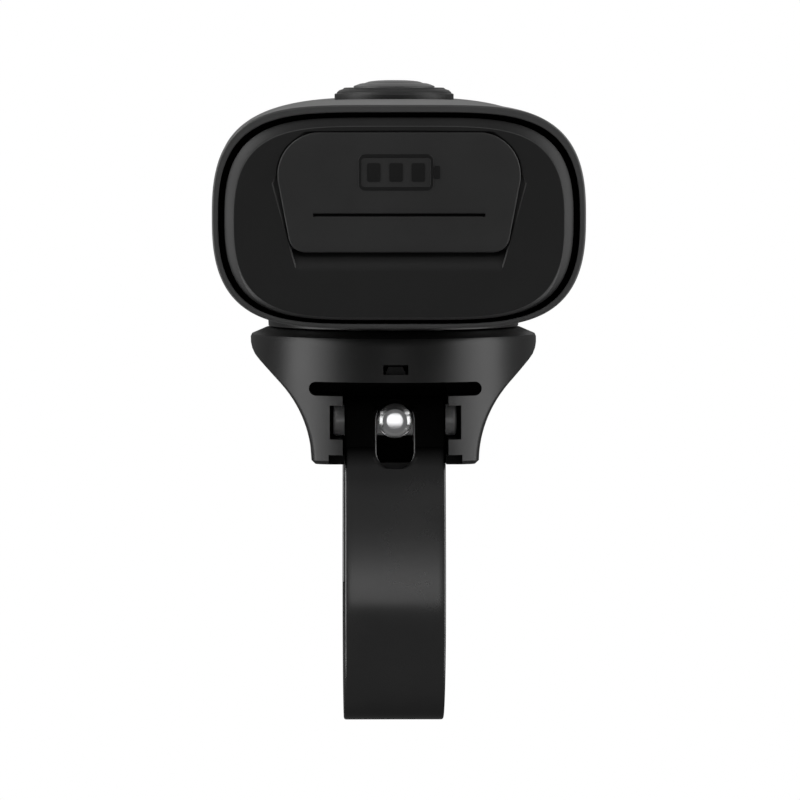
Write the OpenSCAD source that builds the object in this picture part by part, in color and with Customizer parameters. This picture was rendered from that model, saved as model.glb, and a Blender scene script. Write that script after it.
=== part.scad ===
// Bicycle headlight on a round twist-lock bracket with a looped steel band clamp.
// Millimetres. X runs along the handlebar, +Y is the way the beam points, +Z is up.
// The origin is the centre of the handlebar in the clamp.

/* [Handlebar clamp] */
// Diameter of the handlebar that the clamp is closed on
bar_d = 31.8; // [25:0.1:35]
// Thickness of the steel band
band_t = 0.8; // [0.6:0.1:1.0]
// Width of the steel band
band_w = 13.4; // [10:0.1:15]
// Thickness of the rubber liner inside the band
liner_t = 0.6; // [0.4:0.1:1.2]
// Diameter of the cross pin in the back eye of the band
pin_d = 4.2; // [4:0.1:4.4]
// Diameter of the cross pin in the front eye of the band
front_pin_d = 7.6; // [7:0.1:8]
// Length of the two cross pins
pin_len = 16.4; // [15:0.1:17]
// Diameter of the clamp bolt
bolt_d = 4; // [3.8:0.1:4.2]
// Lead of the thread of the clamp bolt
bolt_pitch = 0.7; // [0.5:0.05:0.8]
// Height of the clamp bolt above the top of the handlebar
bolt_rise = 7.8; // [7.4:0.1:8.2]
// Radius of the band's bowed runs between the bar and the eyes
run_bend_r = 70; // [60:1:90]
// Width of the slot in the band that the end of the bolt shows through
band_slot_w = 4.8; // [4.7:0.1:5.4]
// Distance that the slot in the band runs down below the bolt
band_slot_drop = 4; // [2:0.1:5]

/* [Bracket] */
// Diameter of the round top of the bracket
bracket_d = 38.4; // [37:0.1:42]
// Height of the bracket from its foot to the edge of its top
bracket_h = 16.9; // [16.4:0.1:18]
// Width of the bracket at its foot
bracket_foot_w = 22.2; // [21:0.1:25]
// Gap between the handlebar and the foot of the bracket
bracket_gap = 2.2; // [1.6:0.1:2.8]
// Radius of the rounded shoulder of the bracket
shoulder_r = 3.5; // [3:0.1:5]
// Radius of the hollow waist of the bracket
waist_r = 15; // [12:0.1:16]
// Rise of the sloping ring on top of the bracket
crown_h = 0.65; // [0.3:0.05:1]
// Width of the long slot across each face of the bracket
long_slot_w = 22.9; // [20:0.1:23.5]
// Height of the long slot
long_slot_h = 1.85; // [1.4:0.05:2]
// Depth of the long slot
long_slot_depth = 9; // [6:0.5:10]
// Length of the rubber saddle pad from back to front
pad_len = 25; // [18:0.5:26]

/* [Lamp head] */
// Width of the lamp head at its back rim
head_w = 48; // [46:0.1:54]
// Height of the lamp head at its back rim
head_h = 28.7; // [28:0.1:32]
// Length of the lamp head
head_len = 94; // [92:0.5:104]
// Distance from the twist axis to the back rim
head_back = 44; // [44:0.5:48]
// Amount that the top and underside of the housing swell past its rims
head_swell = 0.45; // [0:0.05:0.8]
// Thickness of the housing wall
wall = 1.6; // [1.4:0.1:2]
// Thickness of the thin rim around the back cap
rim_t = 0.95; // [0.8:0.05:1.1]
// Width of the dark groove between the rim and the back cap
groove_w = 0.65; // [0.4:0.05:0.9]
// Length of the front bezel
bezel_len = 14; // [13:0.1:16]
// Gap between the bracket and the neck of the lamp head
neck_gap = 0.25; // [0.2:0.05:0.5]
// Height of the visible neck under the lamp head
neck_h = 1.35; // [1:0.05:2.5]
// Diameter of the neck
neck_d = 34.2; // [32:0.1:36]

/* [Power button] */
// Distance of the button behind the twist axis
button_back = 6; // [0:0.5:10]
// Diameter of the rubber surround of the button
boot_d = 15.9; // [14.5:0.1:18]
// Height of the rubber surround
boot_h = 1.7; // [1.4:0.1:2.2]
// Diameter of the button
button_d = 10.8; // [10:0.1:11]
// Height of the button top above the foot of its surround
button_h = 2.7; // [2.5:0.1:3.4]
// Travel of the button
button_travel = 0.7; // [0.4:0.1:0.8]

/* [Charging port] */
// Width of the port flap at its widest
flap_w = 31.2; // [29:0.1:33]
// Height of the port flap
flap_h = 15.4; // [15:0.1:16]
// Thickness of the port flap
flap_t = 1.4; // [1.2:0.1:1.6]
// Distance from the top of the back rim to the top of the flap
flap_drop = 3.5; // [3.4:0.1:3.7]
// Width of the mouth of the charging socket
socket_w = 8.9; // [8.5:0.1:9.2]
// Height of the charging socket
socket_h = 3.3; // [3:0.1:3.5]

/* [Hidden] */
$fn = 64;

// Clearances
run_gap = 0.05;
slip_gap = 0.15;
free_gap = 0.3;
cut = 1;

// Clamp
bar_r = bar_d / 2;
band_in_r = bar_r + liner_t;
band_out_r = band_in_r + band_t;
pin_r = pin_d / 2;
front_pin_r = front_pin_d / 2;
eye_in_r = pin_r + run_gap;
eye_out_r = eye_in_r + band_t;
front_eye_in_r = front_pin_r + run_gap;
front_eye_out_r = front_eye_in_r + band_t;
bolt_z = bar_r + bolt_rise;
run_centre_y = band_in_r + band_t / 2 - run_bend_r;
pin_y = eye_place(eye_in_r + band_t / 2);
front_pin_y = eye_place(front_eye_in_r + band_t / 2);
eye_gap_angle = 110;
bolt_r = bolt_d / 2;
tenon_r = 1.4;
dome_r = band_slot_w / 2 - 0.1;
shoulder_y = -pin_y + pin_r * 0.6;
dome_y = -pin_y - pin_r * 0.85;
nut_turns = 4;
nut_travel = nut_turns * bolt_pitch;
washer_d = 8.6;
washer_t = 0.8;
nut_w = 7;
nut_h = 3.2;
washer_y = run_centre_y + sqrt(pow(run_bend_r + band_t / 2, 2) - pow(bolt_z - washer_d / 2, 2)) + run_gap;
nut_y = washer_y + washer_t;
bolt_y1 = nut_y + nut_h + nut_travel + 0.4;

// Bracket
bracket_r = bracket_d / 2;
bracket_z0 = bar_r + bracket_gap;
bracket_z1 = bracket_z0 + bracket_h;
bracket_top = bracket_z1 + crown_h;
slope_angle = 44;
edge_r = 1.6;
foot_half = bracket_foot_w / 2;
crown_w = 2.1;
window_w = pin_len + 1;
channel_w = band_w + 2 * free_gap;
back_floor_y = pin_y - eye_out_r - free_gap;
front_floor_y = front_pin_y - front_eye_out_r - free_gap;
eye_top = bolt_z + eye_out_r;
long_slot_z = eye_top + 0.55 + long_slot_h / 2;
front_roof_z = max(long_slot_z, bolt_z + front_eye_out_r + free_gap);
pad_seat_w = 17.7;
pad_seat_h = 1.3;
pad_w = band_w - 0.4;
wing_y = sqrt(pow(bracket_r, 2) - pow(pad_seat_w / 2, 2)) - 0.6;

// Twist lock
socket_z = long_slot_z + long_slot_h / 2 + 1.05;
tab_r = 13.9;
hub_r = 12;
socket_r = tab_r + 0.4;
lip_r = hub_r + free_gap;
lip_t = 1.75;
lip_z = bracket_top - lip_t;
tab_t = 2;
tab_z = lip_z - free_gap - tab_t;
tab_half_angle = 28;
notch_half_angle = 34;
hub_z = socket_z + 0.8;
spring_t = 0.4;
spring_w = 2.6;
detent_window_w = 3.3;
detent_window_h = 1.3;

// Lamp head
neck_z = bracket_top + neck_gap;
head_z0 = neck_z + neck_h;
head_z = head_z0 + head_h / 2;
head_y0 = -head_back;
head_y1 = head_y0 + head_len;
bezel_y = head_y1 - bezel_len;
half_w = head_w / 2;
half_h = head_h / 2;
corner_power = 3.1;
rim_power = 3.55;
outline_count = 96;
cap_face_y = head_y0 - 0.8;
cap_plateau_y = head_y0 + 0.1;
ledge_y = head_y0 + 5;
seal_t = 0.6;
flange_t = 1;
cap_bevel = 1.2;

// Top of the housing at a place along its length
mid_y0 = head_y0 + head_len * 0.3;
mid_y1 = head_y0 + head_len * 0.6;
top_z = head_z + half_h + head_swell;
spot_z = top_z - 0.25;
button_y = -button_back;
boot_r = boot_d / 2;
button_r = button_d / 2;
boot_stem_r = button_r + 1;

// Charging port
flap_top = head_z0 + head_h - flap_drop;
flap_bottom = flap_top - flap_h;
flap_face_y = cap_face_y - 0.2;
flap_back_y = flap_face_y + flap_t;
flap_corner_r = 5.5;
flap_foot_r = 2.2;
flap_foot_half = flap_w / 2 - 1.4;
hinge_r = flap_t / 4;
hinge_z = flap_top - hinge_r;
hinge_y = flap_face_y + hinge_r;
hinge_half = flap_w / 2 - flap_corner_r + sqrt(pow(flap_corner_r, 2) - pow(flap_corner_r - hinge_r, 2));
hinge_groove_len = 2 * (hinge_half + free_gap);
hinge_groove_r = hinge_r + slip_gap;
port_z = flap_top - 5.1;
plug_h = socket_h;
plug_w = socket_w;
plug_depth = 1.6;
port_w = plug_w + 2 * free_gap;
port_h = plug_h + 5 * free_gap;
pocket_depth = flap_back_y + slip_gap - cap_face_y;
pocket_margin = 0.65;
ramp_bottom = flap_bottom - 2.4;
ramp_top = flap_bottom + 0.35;
scoop_top = flap_top - 6.7;
scoop_foot_half = flap_foot_half - 1.1;

// Inside of the lamp head
board_t = 1.2;
board_z = port_z + socket_h / 2;
board_w = 26;
cell_d = 18.4;
socket_depth = 7.3;
socket_proud = 1.6;
socket_wall = 0.35;
cell_gap = 0.3;
cavity_half_w = half_w - wall;
cradle_t = 1.2;
spreader_t = 3;
led_board_t = 1.6;
reflector_len = 9;
lens_t = 2.4;
lens_in = 2.6;
spreader_y = bezel_y - spreader_t;
led_board_y = bezel_y;
reflector_y = led_board_y + led_board_t;
lens_y = reflector_y + reflector_len + 0.2;
lamp_pitch = 20;
cup_mouth_r = 9.2;
cup_throat_r = 2.6;
foot_screw_y = 7;
foot_screw_d = 3;
foot_screw_head_d = 5.4;
foot_screw_head_h = 1.8;
groove_count = 5;
groove_pitch = 3.4;
cooling_groove_w = 1.4;
cooling_groove_d = 0.7;
cooling_groove_h = 13;
switch_w = 4.5;
switch_h = 1.6;
cell_y1 = spreader_y - 1.3;
cell_len = cell_y1 - ledge_y + socket_proud - socket_depth - 0.1;
tray_half = cavity_half_w - 3;
tray_wall = 3;
spreader_screw_d = 2;
spreader_screw_head_d = 3.6;
spreader_screw_head_h = 1.2;
spreader_screw_x = half_w - 6;
chip_w = 3;
chip_t = 0.7;
button_stem_r = 2;
cell_z = head_z0 + wall + cradle_t + cell_d / 2 + 0.3;

// Points of a superellipse: a rounded rectangle whose four sides are all a little bowed
function squircle(a, b, power) = [
    for (i = [0 : outline_count - 1])
        let (t = 360 * i / outline_count, c = cos(t), s = sin(t), p = 2 / power)
            [a * sign(c) * pow(abs(c), p), b * sign(s) * pow(abs(s), p)]
];

// Outline of the lamp head taken in at its sides and at top and bottom; a higher power squares it
function head_outline(inset, inset_z, power) = squircle(half_w - inset, half_h - inset_z, power);

// A straight length of the head's section, from y0 to y1
module head_slab(inset, y0, y1) {
    translate([0, y1, head_z])
        rotate([90, 0, 0])
            linear_extrude(y1 - y0)
                polygon(head_outline(inset, inset, corner_power));
}

// A skin through sections of the head, each given as [y, side inset, top inset, shift in z, power]
module head_loft(sections) {
    n = outline_count;
    last = len(sections) - 1;
    points = [
        for (s = sections)
            for (p = head_outline(s[1], s[2], s[4]))
                [p[0], s[0], p[1] + head_z + s[3]]
    ];
    sides = [
        for (k = [0 : last - 1], i = [0 : n - 1], half = [0, 1])
            let (j = (i + 1) % n, a = k * n + i, b = k * n + j, c = a + n, d = b + n)
                half == 0 ? [a, b, c] : [b, d, c]
    ];
    ends = [[for (i = [n - 1 : -1 : 0]) i], [for (i = [0 : n - 1]) last * n + i]];
    polyhedron(points, concat(sides, ends), convexity = 6);
}

// Points of an arc, seen from its centre
function arc(centre, r, from, to, steps) = [
    for (i = [0 : steps])
        let (t = from + (to - from) * i / steps)
            centre + r * [cos(t), sin(t)]
];

// A profile in the plane across the handlebar, drawn as y and z, pulled along X about the middle
module across(width) {
    translate([-width / 2, 0, 0])
        rotate([90, 0, 90])
            linear_extrude(width)
                children();
}

// A profile seen from behind, drawn as x and z, pulled along Y from y0 to y1
module along(y0, y1) {
    translate([0, y1, 0])
        rotate([90, 0, 0])
            linear_extrude(y1 - y0)
                children();
}

// A slot with round ends, lying along the first axis
module slot_shape(length, width) {
    square([length - width, width], center = true);
    for (side = [-1, 1])
        translate([side * (length - width) / 2, 0])
            circle(d = width);
}

// A sector of a disc, used to cut arcs
module wedge(r, from, to) {
    polygon(concat([[0, 0]], arc([0, 0], r, from, to, 4)));
}

// A round bar lying along X
module cross_bar(r, length) {
    rotate([0, 90, 0])
        cylinder(r = r, h = length, center = true);
}

// A round bar lying along Y from y0 to y1
module bolt_bar(r, y0, y1) {
    translate([0, y1, bolt_z])
        rotate([90, 0, 0])
            cylinder(r = r, h = y1 - y0);
}

// Half of the width of the bracket at a height: foot, hollow waist, slope and rounded shoulder
function bracket_half(z) =
    let (
        arc_z = bracket_z1 - 0.8,
        arc_drop = shoulder_r * sin(slope_angle),
        slope_x0 = bracket_r - shoulder_r * (1 - cos(slope_angle)),
        slope_x1 = foot_half + waist_r * (1 - cos(slope_angle)),
        slope_z0 = arc_z - arc_drop,
        slope_z1 = slope_z0 - (slope_x0 - slope_x1) / tan(slope_angle),
        waist_z = slope_z1 - waist_r * sin(slope_angle)
    )
    z >= arc_z ? bracket_r
    : z >= slope_z0 ? bracket_r - shoulder_r + sqrt(pow(shoulder_r, 2) - pow(arc_z - z, 2))
    : z >= slope_z1 ? slope_x1 + (z - slope_z1) * tan(slope_angle)
    : z >= waist_z ? foot_half + waist_r - sqrt(pow(waist_r, 2) - pow(z - waist_z, 2))
    : foot_half;

// Plan of the bracket at a height: a disc cut off at both sides, with rounded corners
function bracket_plan(half, r) =
    let (
        e = min(edge_r, r - half + 0.001),
        corner_x = half - e,
        corner_y = sqrt(max(0, pow(r - e, 2) - pow(corner_x, 2))),
        bend = atan2(corner_y, corner_x),
        right = arc([corner_x, corner_y], e, 0, bend, 8),
        back = arc([0, 0], r, bend, 180 - bend, 32),
        left = [for (i = [8 : -1 : 0]) [-right[i][0], right[i][1]]],
        top = concat(right, [for (i = [1 : 31]) back[i]], left)
    )
    concat(top, [for (i = [len(top) - 1 : -1 : 0]) [top[i][0], -top[i][1]]]);

// A skin through the plans of the bracket, each given as [z, half width, disc radius]
module bracket_loft(levels) {
    plans = [for (l = levels) bracket_plan(l[1], l[2])];
    n = len(plans[0]);
    last = len(levels) - 1;
    points = [for (k = [0 : last]) for (p = plans[k]) [p[0], p[1], levels[k][0]]];
    sides = [
        for (k = [0 : last - 1], i = [0 : n - 1], half = [0, 1])
            let (j = (i + 1) % n, a = k * n + i, b = k * n + j, c = a + n, d = b + n)
                half == 0 ? [a, c, b] : [b, c, d]
    ];
    ends = [[for (i = [0 : n - 1]) i], [for (i = [n - 1 : -1 : 0]) last * n + i]];
    polyhedron(points, concat(sides, ends), convexity = 6);
}

// Bracket: moulded pedestal with the twist-lock socket on top and the clamp pockets in both faces
module bracket_body() {
    steps = 22;
    foot_round = 0.5;
    rim_round = 0.6;
    levels = concat(
        [[bracket_z0, foot_half - foot_round, bracket_r - foot_round]],
        [for (i = [0 : steps])
            let (z = bracket_z0 + foot_round + (bracket_h - foot_round - rim_round) * i / steps)
                [z, bracket_half(z), bracket_r]],
        [[bracket_z1 - rim_round * 0.3, bracket_r - rim_round * 0.3, bracket_r - rim_round * 0.3]],
        [[bracket_z1, bracket_r - rim_round, bracket_r - rim_round]],
        [[bracket_top, bracket_r - crown_w, bracket_r - crown_w]]
    );
    bracket_loft(levels);
}

// Pocket on the side of +y for an eye of the band and its cross pin
module clamp_pocket(pin_radius, floor_y, roof_z) {
    pocket_h = 2 * pin_radius + free_gap;
    along(floor_y, bracket_r + cut)
        translate([-window_w / 2, bolt_z - pocket_h / 2])
            square([window_w, pocket_h]);
    along(floor_y, bracket_r + cut)
        translate([-channel_w / 2, bracket_z0 - cut])
            square([channel_w, roof_z - bracket_z0 + cut]);
}

module bracket() {
    color([0.12, 0.12, 0.13])
        difference() {
            bracket_body();
            clamp_pocket(front_pin_r, front_floor_y, front_roof_z);
            rotate(180)
                clamp_pocket(pin_r, back_floor_y, long_slot_z);
            for (turn = [0, 180])
                rotate(turn)
                    along(bracket_r - long_slot_depth, bracket_r + cut)
                        translate([0, long_slot_z])
                            slot_shape(long_slot_w, long_slot_h);
            along(-bracket_r - cut, bracket_r + cut)
                translate([-pad_seat_w / 2, bracket_z0 - cut])
                    square([pad_seat_w, pad_seat_h + cut]);
            bolt_bar(bolt_r + free_gap, -bracket_r, bracket_r);
            twist_socket();
            along(-bracket_r - cut, -hub_r)
                translate([-detent_window_w / 2, socket_z])
                    square([detent_window_w, detent_window_h]);
        }
}

// Round socket with two gaps in its lip, where the tabs of the foot go in
module twist_socket() {
    translate([0, 0, socket_z])
        cylinder(r = socket_r, h = lip_z - socket_z);
    translate([0, 0, socket_z])
        cylinder(r = lip_r, h = bracket_top - socket_z + cut);
    for (side = [90, 270])
        rotate(side)
            translate([0, 0, socket_z])
                linear_extrude(bracket_top - socket_z + cut)
                    intersection() {
                        circle(r = socket_r);
                        wedge(2 * socket_r, -notch_half_angle, notch_half_angle);
                    }
}

// Detent spring: a thin steel leaf on the floor of the socket, whose end shows in the window
module detent_spring() {
    leaf_y0 = -bracket_r + 1.2;
    leaf_y1 = -hub_r + 4;
    end_h = detent_window_h - 0.3;
    color([0.3, 0.3, 0.31]) {
        translate([-spring_w / 2, leaf_y0, socket_z])
            cube([spring_w, leaf_y1 - leaf_y0, spring_t]);
        along(leaf_y0, leaf_y0 + spring_t)
            polygon([
                [-spring_w / 2, socket_z], [spring_w / 2, socket_z],
                [spring_w / 2 - 0.35, socket_z + end_h], [0.35 - spring_w / 2, socket_z + end_h]
            ]);
    }
}

// Saddle pad: rubber block between the bracket and the handlebar, keyed into the bracket's foot
module saddle_pad() {
    key_y0 = -back_floor_y + slip_gap;
    key_y1 = front_floor_y - slip_gap;
    color([0.06, 0.06, 0.06])
        difference() {
            union() {
                translate([-pad_w / 2, -pad_len / 2, bar_r * 0.55])
                    cube([pad_w, pad_len, bracket_z0 - bar_r * 0.55]);
                translate([slip_gap - pad_seat_w / 2, key_y0, bracket_z0])
                    cube([pad_seat_w - 2 * slip_gap, key_y1 - key_y0, pad_seat_h]);
                for (side = [0, 180])
                    rotate(side)
                        translate([channel_w / 2, -wing_y, bracket_z0])
                            cube([(pad_seat_w - channel_w) / 2 - slip_gap, 2 * wing_y, pad_seat_h]);
            }
            cross_bar(bar_r, 2 * pad_w);
        }
}

// Angle on the band's bowed run where an eye of the given middle radius begins
function eye_angle(eye_r) = asin(bolt_z / (run_bend_r - eye_r));

// Distance of an eye's centre from the middle of the clamp
function eye_place(eye_r) = run_centre_y + (run_bend_r - eye_r) * cos(eye_angle(eye_r));

// Half of the band's outline on the side of +y: bowed run and eye, drawn in y and z
module band_half_shape(eye_y, in_r, out_r) {
    turn = eye_angle((in_r + out_r) / 2);
    centre = [run_centre_y, 0];
    steps = 16;
    polygon(concat(
        arc(centre, run_bend_r + band_t / 2, 0, turn + 0.2, steps),
        arc(centre, run_bend_r - band_t / 2, turn + 0.2, 0, steps)
    ));
    translate([eye_y, bolt_z])
        difference() {
            circle(r = out_r);
            circle(r = in_r);
            wedge(2 * out_r, turn - eye_gap_angle, turn);
        }
}

// Clamp band: steel strip under the handlebar with an eye at each end for the cross pins
module clamp_band() {
    slot_r = band_slot_w / 2;
    color([0.1, 0.1, 0.105])
        difference() {
            across(band_w)
                union() {
                    band_half_shape(front_pin_y, front_eye_in_r, front_eye_out_r);
                    mirror([1, 0])
                        band_half_shape(pin_y, eye_in_r, eye_out_r);
                    difference() {
                        circle(r = band_out_r);
                        circle(r = band_in_r);
                        translate([-2 * band_out_r, 0])
                            square([4 * band_out_r, 2 * band_out_r]);
                    }
                }
            along(-2 * band_out_r, 2 * band_out_r)
                translate([0, bolt_z - band_slot_drop / 2])
                    rotate(90)
                        slot_shape(band_slot_drop + band_slot_w, 2 * slot_r);
        }
}

// Band liner: rubber strip on the inside of the band's lower half
module band_liner() {
    color([0.05, 0.05, 0.05])
        across(band_w)
            difference() {
                circle(r = band_in_r);
                circle(r = bar_r);
                translate([-2 * band_in_r, 0])
                    square([4 * band_in_r, 2 * band_in_r]);
            }
}

// Front cross pin: thick pin in the front eye, with a clear hole for the bolt
module front_pin() {
    color([0.35, 0.35, 0.36])
        difference() {
            translate([0, front_pin_y, bolt_z])
                cross_bar(front_pin_r, pin_len);
            bolt_bar(bolt_r + slip_gap, 0, 2 * band_out_r);
        }
}

// Rear cross pin: slim pin in the back eye, riveted onto the end of the bolt
module rear_pin() {
    color([0.14, 0.14, 0.15])
        difference() {
            translate([0, -pin_y, bolt_z])
                cross_bar(pin_r, pin_len);
            bolt_bar(tenon_r + run_gap, -2 * pin_y, 0);
            bolt_bar(bolt_r + run_gap, shoulder_y, 0);
            bolt_bar(dome_r + run_gap, -2 * pin_y, dome_y);
        }
}

// Clamp bolt: threaded shank with a tenon through the rear pin, closed with a bright domed rivet head
module clamp_bolt() {
    dome_h = 1.75;
    color([0.8, 0.8, 0.82])
        translate([0, dome_y, bolt_z])
            rotate([-90, 0, 0])
                rotate_extrude()
                    polygon(concat(
                        [for (i = [0 : 6])
                            let (t = 90 - 15 * i)
                                [dome_r * 0.66 * cos(t), -dome_h * 0.72 - dome_h * 0.28 * sin(t)]],
                        [[dome_r * 0.72, -dome_h * 0.76], [dome_r, -dome_h * 0.5], [dome_r, 0], [tenon_r, 0],
                            [tenon_r, shoulder_y - dome_y], [bolt_r, shoulder_y - dome_y],
                            [bolt_r, bolt_y1 - dome_y - 0.4], [bolt_r - 0.4, bolt_y1 - dome_y],
                            [0, bolt_y1 - dome_y]]
                    ));
}

// Clamp nut: hexagon nut on the front end of the bolt
module clamp_nut() {
    color([0.7, 0.7, 0.72])
        difference() {
            translate([0, nut_y + nut_h, bolt_z])
                rotate([90, 30, 0])
                    cylinder(d = nut_w / cos(30), h = nut_h, $fn = 6);
            bolt_bar(bolt_r + run_gap, 0, 2 * nut_y);
        }
}

// Nut washer: between the nut and the front of the band
module nut_washer() {
    color([0.6, 0.6, 0.62])
        difference() {
            bolt_bar(washer_d / 2, washer_y, nut_y);
            bolt_bar(bolt_r + slip_gap, 0, 2 * band_out_r);
        }
}

// Foot: turntable under the lamp head with a neck, a hub and two tabs for the twist lock
module foot() {
    color([0.13, 0.13, 0.14])
        difference() {
            union() {
                translate([0, 0, neck_z])
                    cylinder(d1 = neck_d - 0.6, d2 = neck_d, h = half_h / 2);
                translate([0, 0, hub_z])
                    cylinder(r = hub_r, h = neck_z - hub_z + 0.1);
                for (side = [0, 180])
                    rotate(side)
                        translate([0, 0, tab_z])
                            linear_extrude(tab_t)
                                intersection() {
                                    circle(r = tab_r);
                                    wedge(2 * tab_r, -tab_half_angle, tab_half_angle);
                                }
            }
            along(-neck_d, neck_d)
                translate([0, head_z])
                    polygon(head_outline(0, -head_swell, corner_power));
            for (side = [-1, 1])
                translate([0, side * foot_screw_y, 0])
                    foot_screw_hole();
        }
}

module foot_screw_hole() {
    translate([0, 0, hub_z - cut])
        cylinder(d = foot_screw_head_d + 0.4, h = foot_screw_head_h + 0.6 + cut);
    translate([0, 0, hub_z])
        cylinder(d = foot_screw_d + 0.2, h = head_z - hub_z);
}

// Foot screws: two screws that hold the foot to the floor of the housing
module foot_screws() {
    color([0.5, 0.5, 0.52])
        for (side = [-1, 1])
            translate([0, side * foot_screw_y, hub_z + 0.6]) {
                cylinder(d = foot_screw_head_d, h = foot_screw_head_h);
                cylinder(d = foot_screw_d, h = head_z0 - hub_z + wall - 0.6);
            }
}

// Outside of the lamp head behind the bezel
module head_body() {
    edge = 0.3;
    swell = head_swell;
    head_loft([
        [head_y0, edge, edge, 0, rim_power],
        [head_y0 + edge * 0.4, edge * 0.35, edge * 0.35, 0, rim_power],
        [head_y0 + edge * 1.4, 0, 0, 0, rim_power],
        [(mid_y0 + head_y0) / 2, 0, -swell * 0.75, 0, corner_power],
        [mid_y0, 0, -swell, 0, corner_power],
        [mid_y1, 0, -swell, 0, corner_power],
        [bezel_y, 0, 0, 0, corner_power]
    ]);
}

// Housing: one-piece shell of the lamp head, open at both ends
module housing() {
    color([0.13, 0.13, 0.14])
        difference() {
            head_body();
            head_slab(rim_t, head_y0 - cut, ledge_y);
            head_slab(wall, ledge_y - cut, bezel_y + cut);
            translate([0, button_y, spot_z])
                cylinder(r = boot_r + run_gap, h = 4 * head_swell + cut);
            translate([0, button_y, head_z])
                cylinder(r = boot_stem_r + run_gap, h = half_h + cut);
            for (side = [-1, 1])
                translate([0, side * foot_screw_y, head_z0 - cut])
                    cylinder(d = foot_screw_d + 2 * run_gap, h = 3 * wall);
            cooling_grooves();
        }
}

// Cooling grooves: upright grooves in both sides of the housing behind the lamp
module cooling_grooves() {
    for (side = [-1, 1], i = [0 : groove_count - 1])
        translate([side * (half_w + 2 - cooling_groove_d), bezel_y - 5 - i * groove_pitch, head_z])
            rotate([0, 90, 0])
                linear_extrude(4, center = true)
                    slot_shape(cooling_groove_h, cooling_groove_w);
}

// Rear seal: flat gasket between the flange of the back cap and the ledge in the housing
module rear_seal() {
    color([0.03, 0.03, 0.03])
        difference() {
            head_slab(rim_t + run_gap, ledge_y - seal_t, ledge_y);
            head_slab(wall, ledge_y - seal_t - cut, ledge_y + cut);
        }
}

// Rounded outline of the port flap in x and z, grown by an amount
module flap_shape(grow) {
    upper_x = flap_w / 2 - flap_corner_r;
    upper_z = flap_top - flap_corner_r;
    lower_x = flap_foot_half - flap_foot_r;
    lower_z = flap_bottom + flap_foot_r;
    lean = atan2(upper_x + flap_corner_r - lower_x - flap_foot_r, upper_z - lower_z);
    right = concat(
        arc([lower_x, lower_z], flap_foot_r + grow, -90, -lean, 8),
        arc([upper_x, upper_z], flap_corner_r + grow, -lean, 90, 14)
    );
    polygon(concat(right, [for (i = [len(right) - 1 : -1 : 0]) [-right[i][0], right[i][1]]]));
}

// Rear cap: back cover in the rim, with the seat of the flap, a finger scoop and the port opening
module rear_cap() {
    inset = rim_t + groove_w;
    flange_y = ledge_y - seal_t - flange_t;
    bevel = cap_bevel;
    bevel_z = cap_bevel * 0.45;
    shift = cap_bevel * 0.38;
    color([0.1, 0.1, 0.105])
        difference() {
            union() {
                head_slab(rim_t + run_gap, flange_y, flange_y + flange_t);
                head_loft([
                    [cap_face_y, inset + bevel, inset + bevel_z, -shift, corner_power],
                    [cap_face_y + 0.15, inset + bevel * 0.86, inset + bevel_z * 0.86, -shift * 0.8, corner_power],
                    [cap_plateau_y - 0.3, inset + 0.08, inset + 0.08, 0, corner_power],
                    [cap_plateau_y, inset, inset, 0, corner_power],
                    [flange_y + flange_t / 2, inset, inset, 0, corner_power]
                ]);
            }
            along(cap_face_y - cut, flap_back_y + slip_gap)
                flap_shape(slip_gap);
            finger_scoop();
            translate([0, hinge_y, hinge_z])
                cross_bar(hinge_groove_r, hinge_groove_len);
            along(cap_face_y, ledge_y + cut)
                translate([0, port_z])
                    slot_shape(port_w, port_h);
        }
}

// Finger scoop: a margin beside the flap, and a ramp that rises from under its free edge to the face
module finger_scoop() {
    top_half = flap_w / 2 + pocket_margin;
    run = (ramp_top - ramp_bottom) / pocket_depth;
    intersection() {
        along(cap_face_y - cut, ledge_y)
            polygon([
                [-scoop_foot_half, ramp_bottom], [scoop_foot_half, ramp_bottom],
                [top_half, scoop_top], [-top_half, scoop_top]
            ]);
        across(2 * flap_w)
            polygon([
                [cap_face_y - cut, ramp_bottom - cut * run], [cap_face_y + pocket_depth, ramp_top],
                [cap_face_y + pocket_depth, flap_top], [cap_face_y - cut, flap_top]
            ]);
    }
}

// Port flap: rubber cover with a plug, hung on a bar along its top edge
module port_flap() {
    color([0.15, 0.15, 0.155])
        union() {
            difference() {
                along(flap_face_y, flap_back_y)
                    flap_shape(0);
                translate([-flap_w, flap_face_y - cut, hinge_z])
                    cube([2 * flap_w, flap_t + 2 * cut, flap_h]);
            }
            intersection() {
                along(flap_face_y, flap_back_y)
                    flap_shape(0);
                translate([0, hinge_y, hinge_z])
                    cross_bar(hinge_r, flap_w);
            }
            along(flap_back_y - 0.1, flap_back_y + plug_depth)
                translate([0, port_z])
                    slot_shape(plug_w, plug_h);
        }
}

// Button boot: stepped rubber surround seated in the top of the housing
module button_boot() {
    step_h = boot_h / 2;
    color([0.12, 0.12, 0.125])
        translate([0, button_y, spot_z])
            rotate_extrude()
                polygon([
                    [button_r + slip_gap, -wall], [boot_stem_r, -wall], [boot_stem_r, 0],
                    [boot_r, 0], [boot_r, step_h - 0.1], [boot_r - 0.1, step_h],
                    [boot_r - 0.55, step_h], [boot_r - 0.6, step_h + 0.35],
                    [boot_r - 1.1, boot_h - 0.12], [boot_r - 1.35, boot_h], [button_r + slip_gap, boot_h]
                ]);
}

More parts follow.
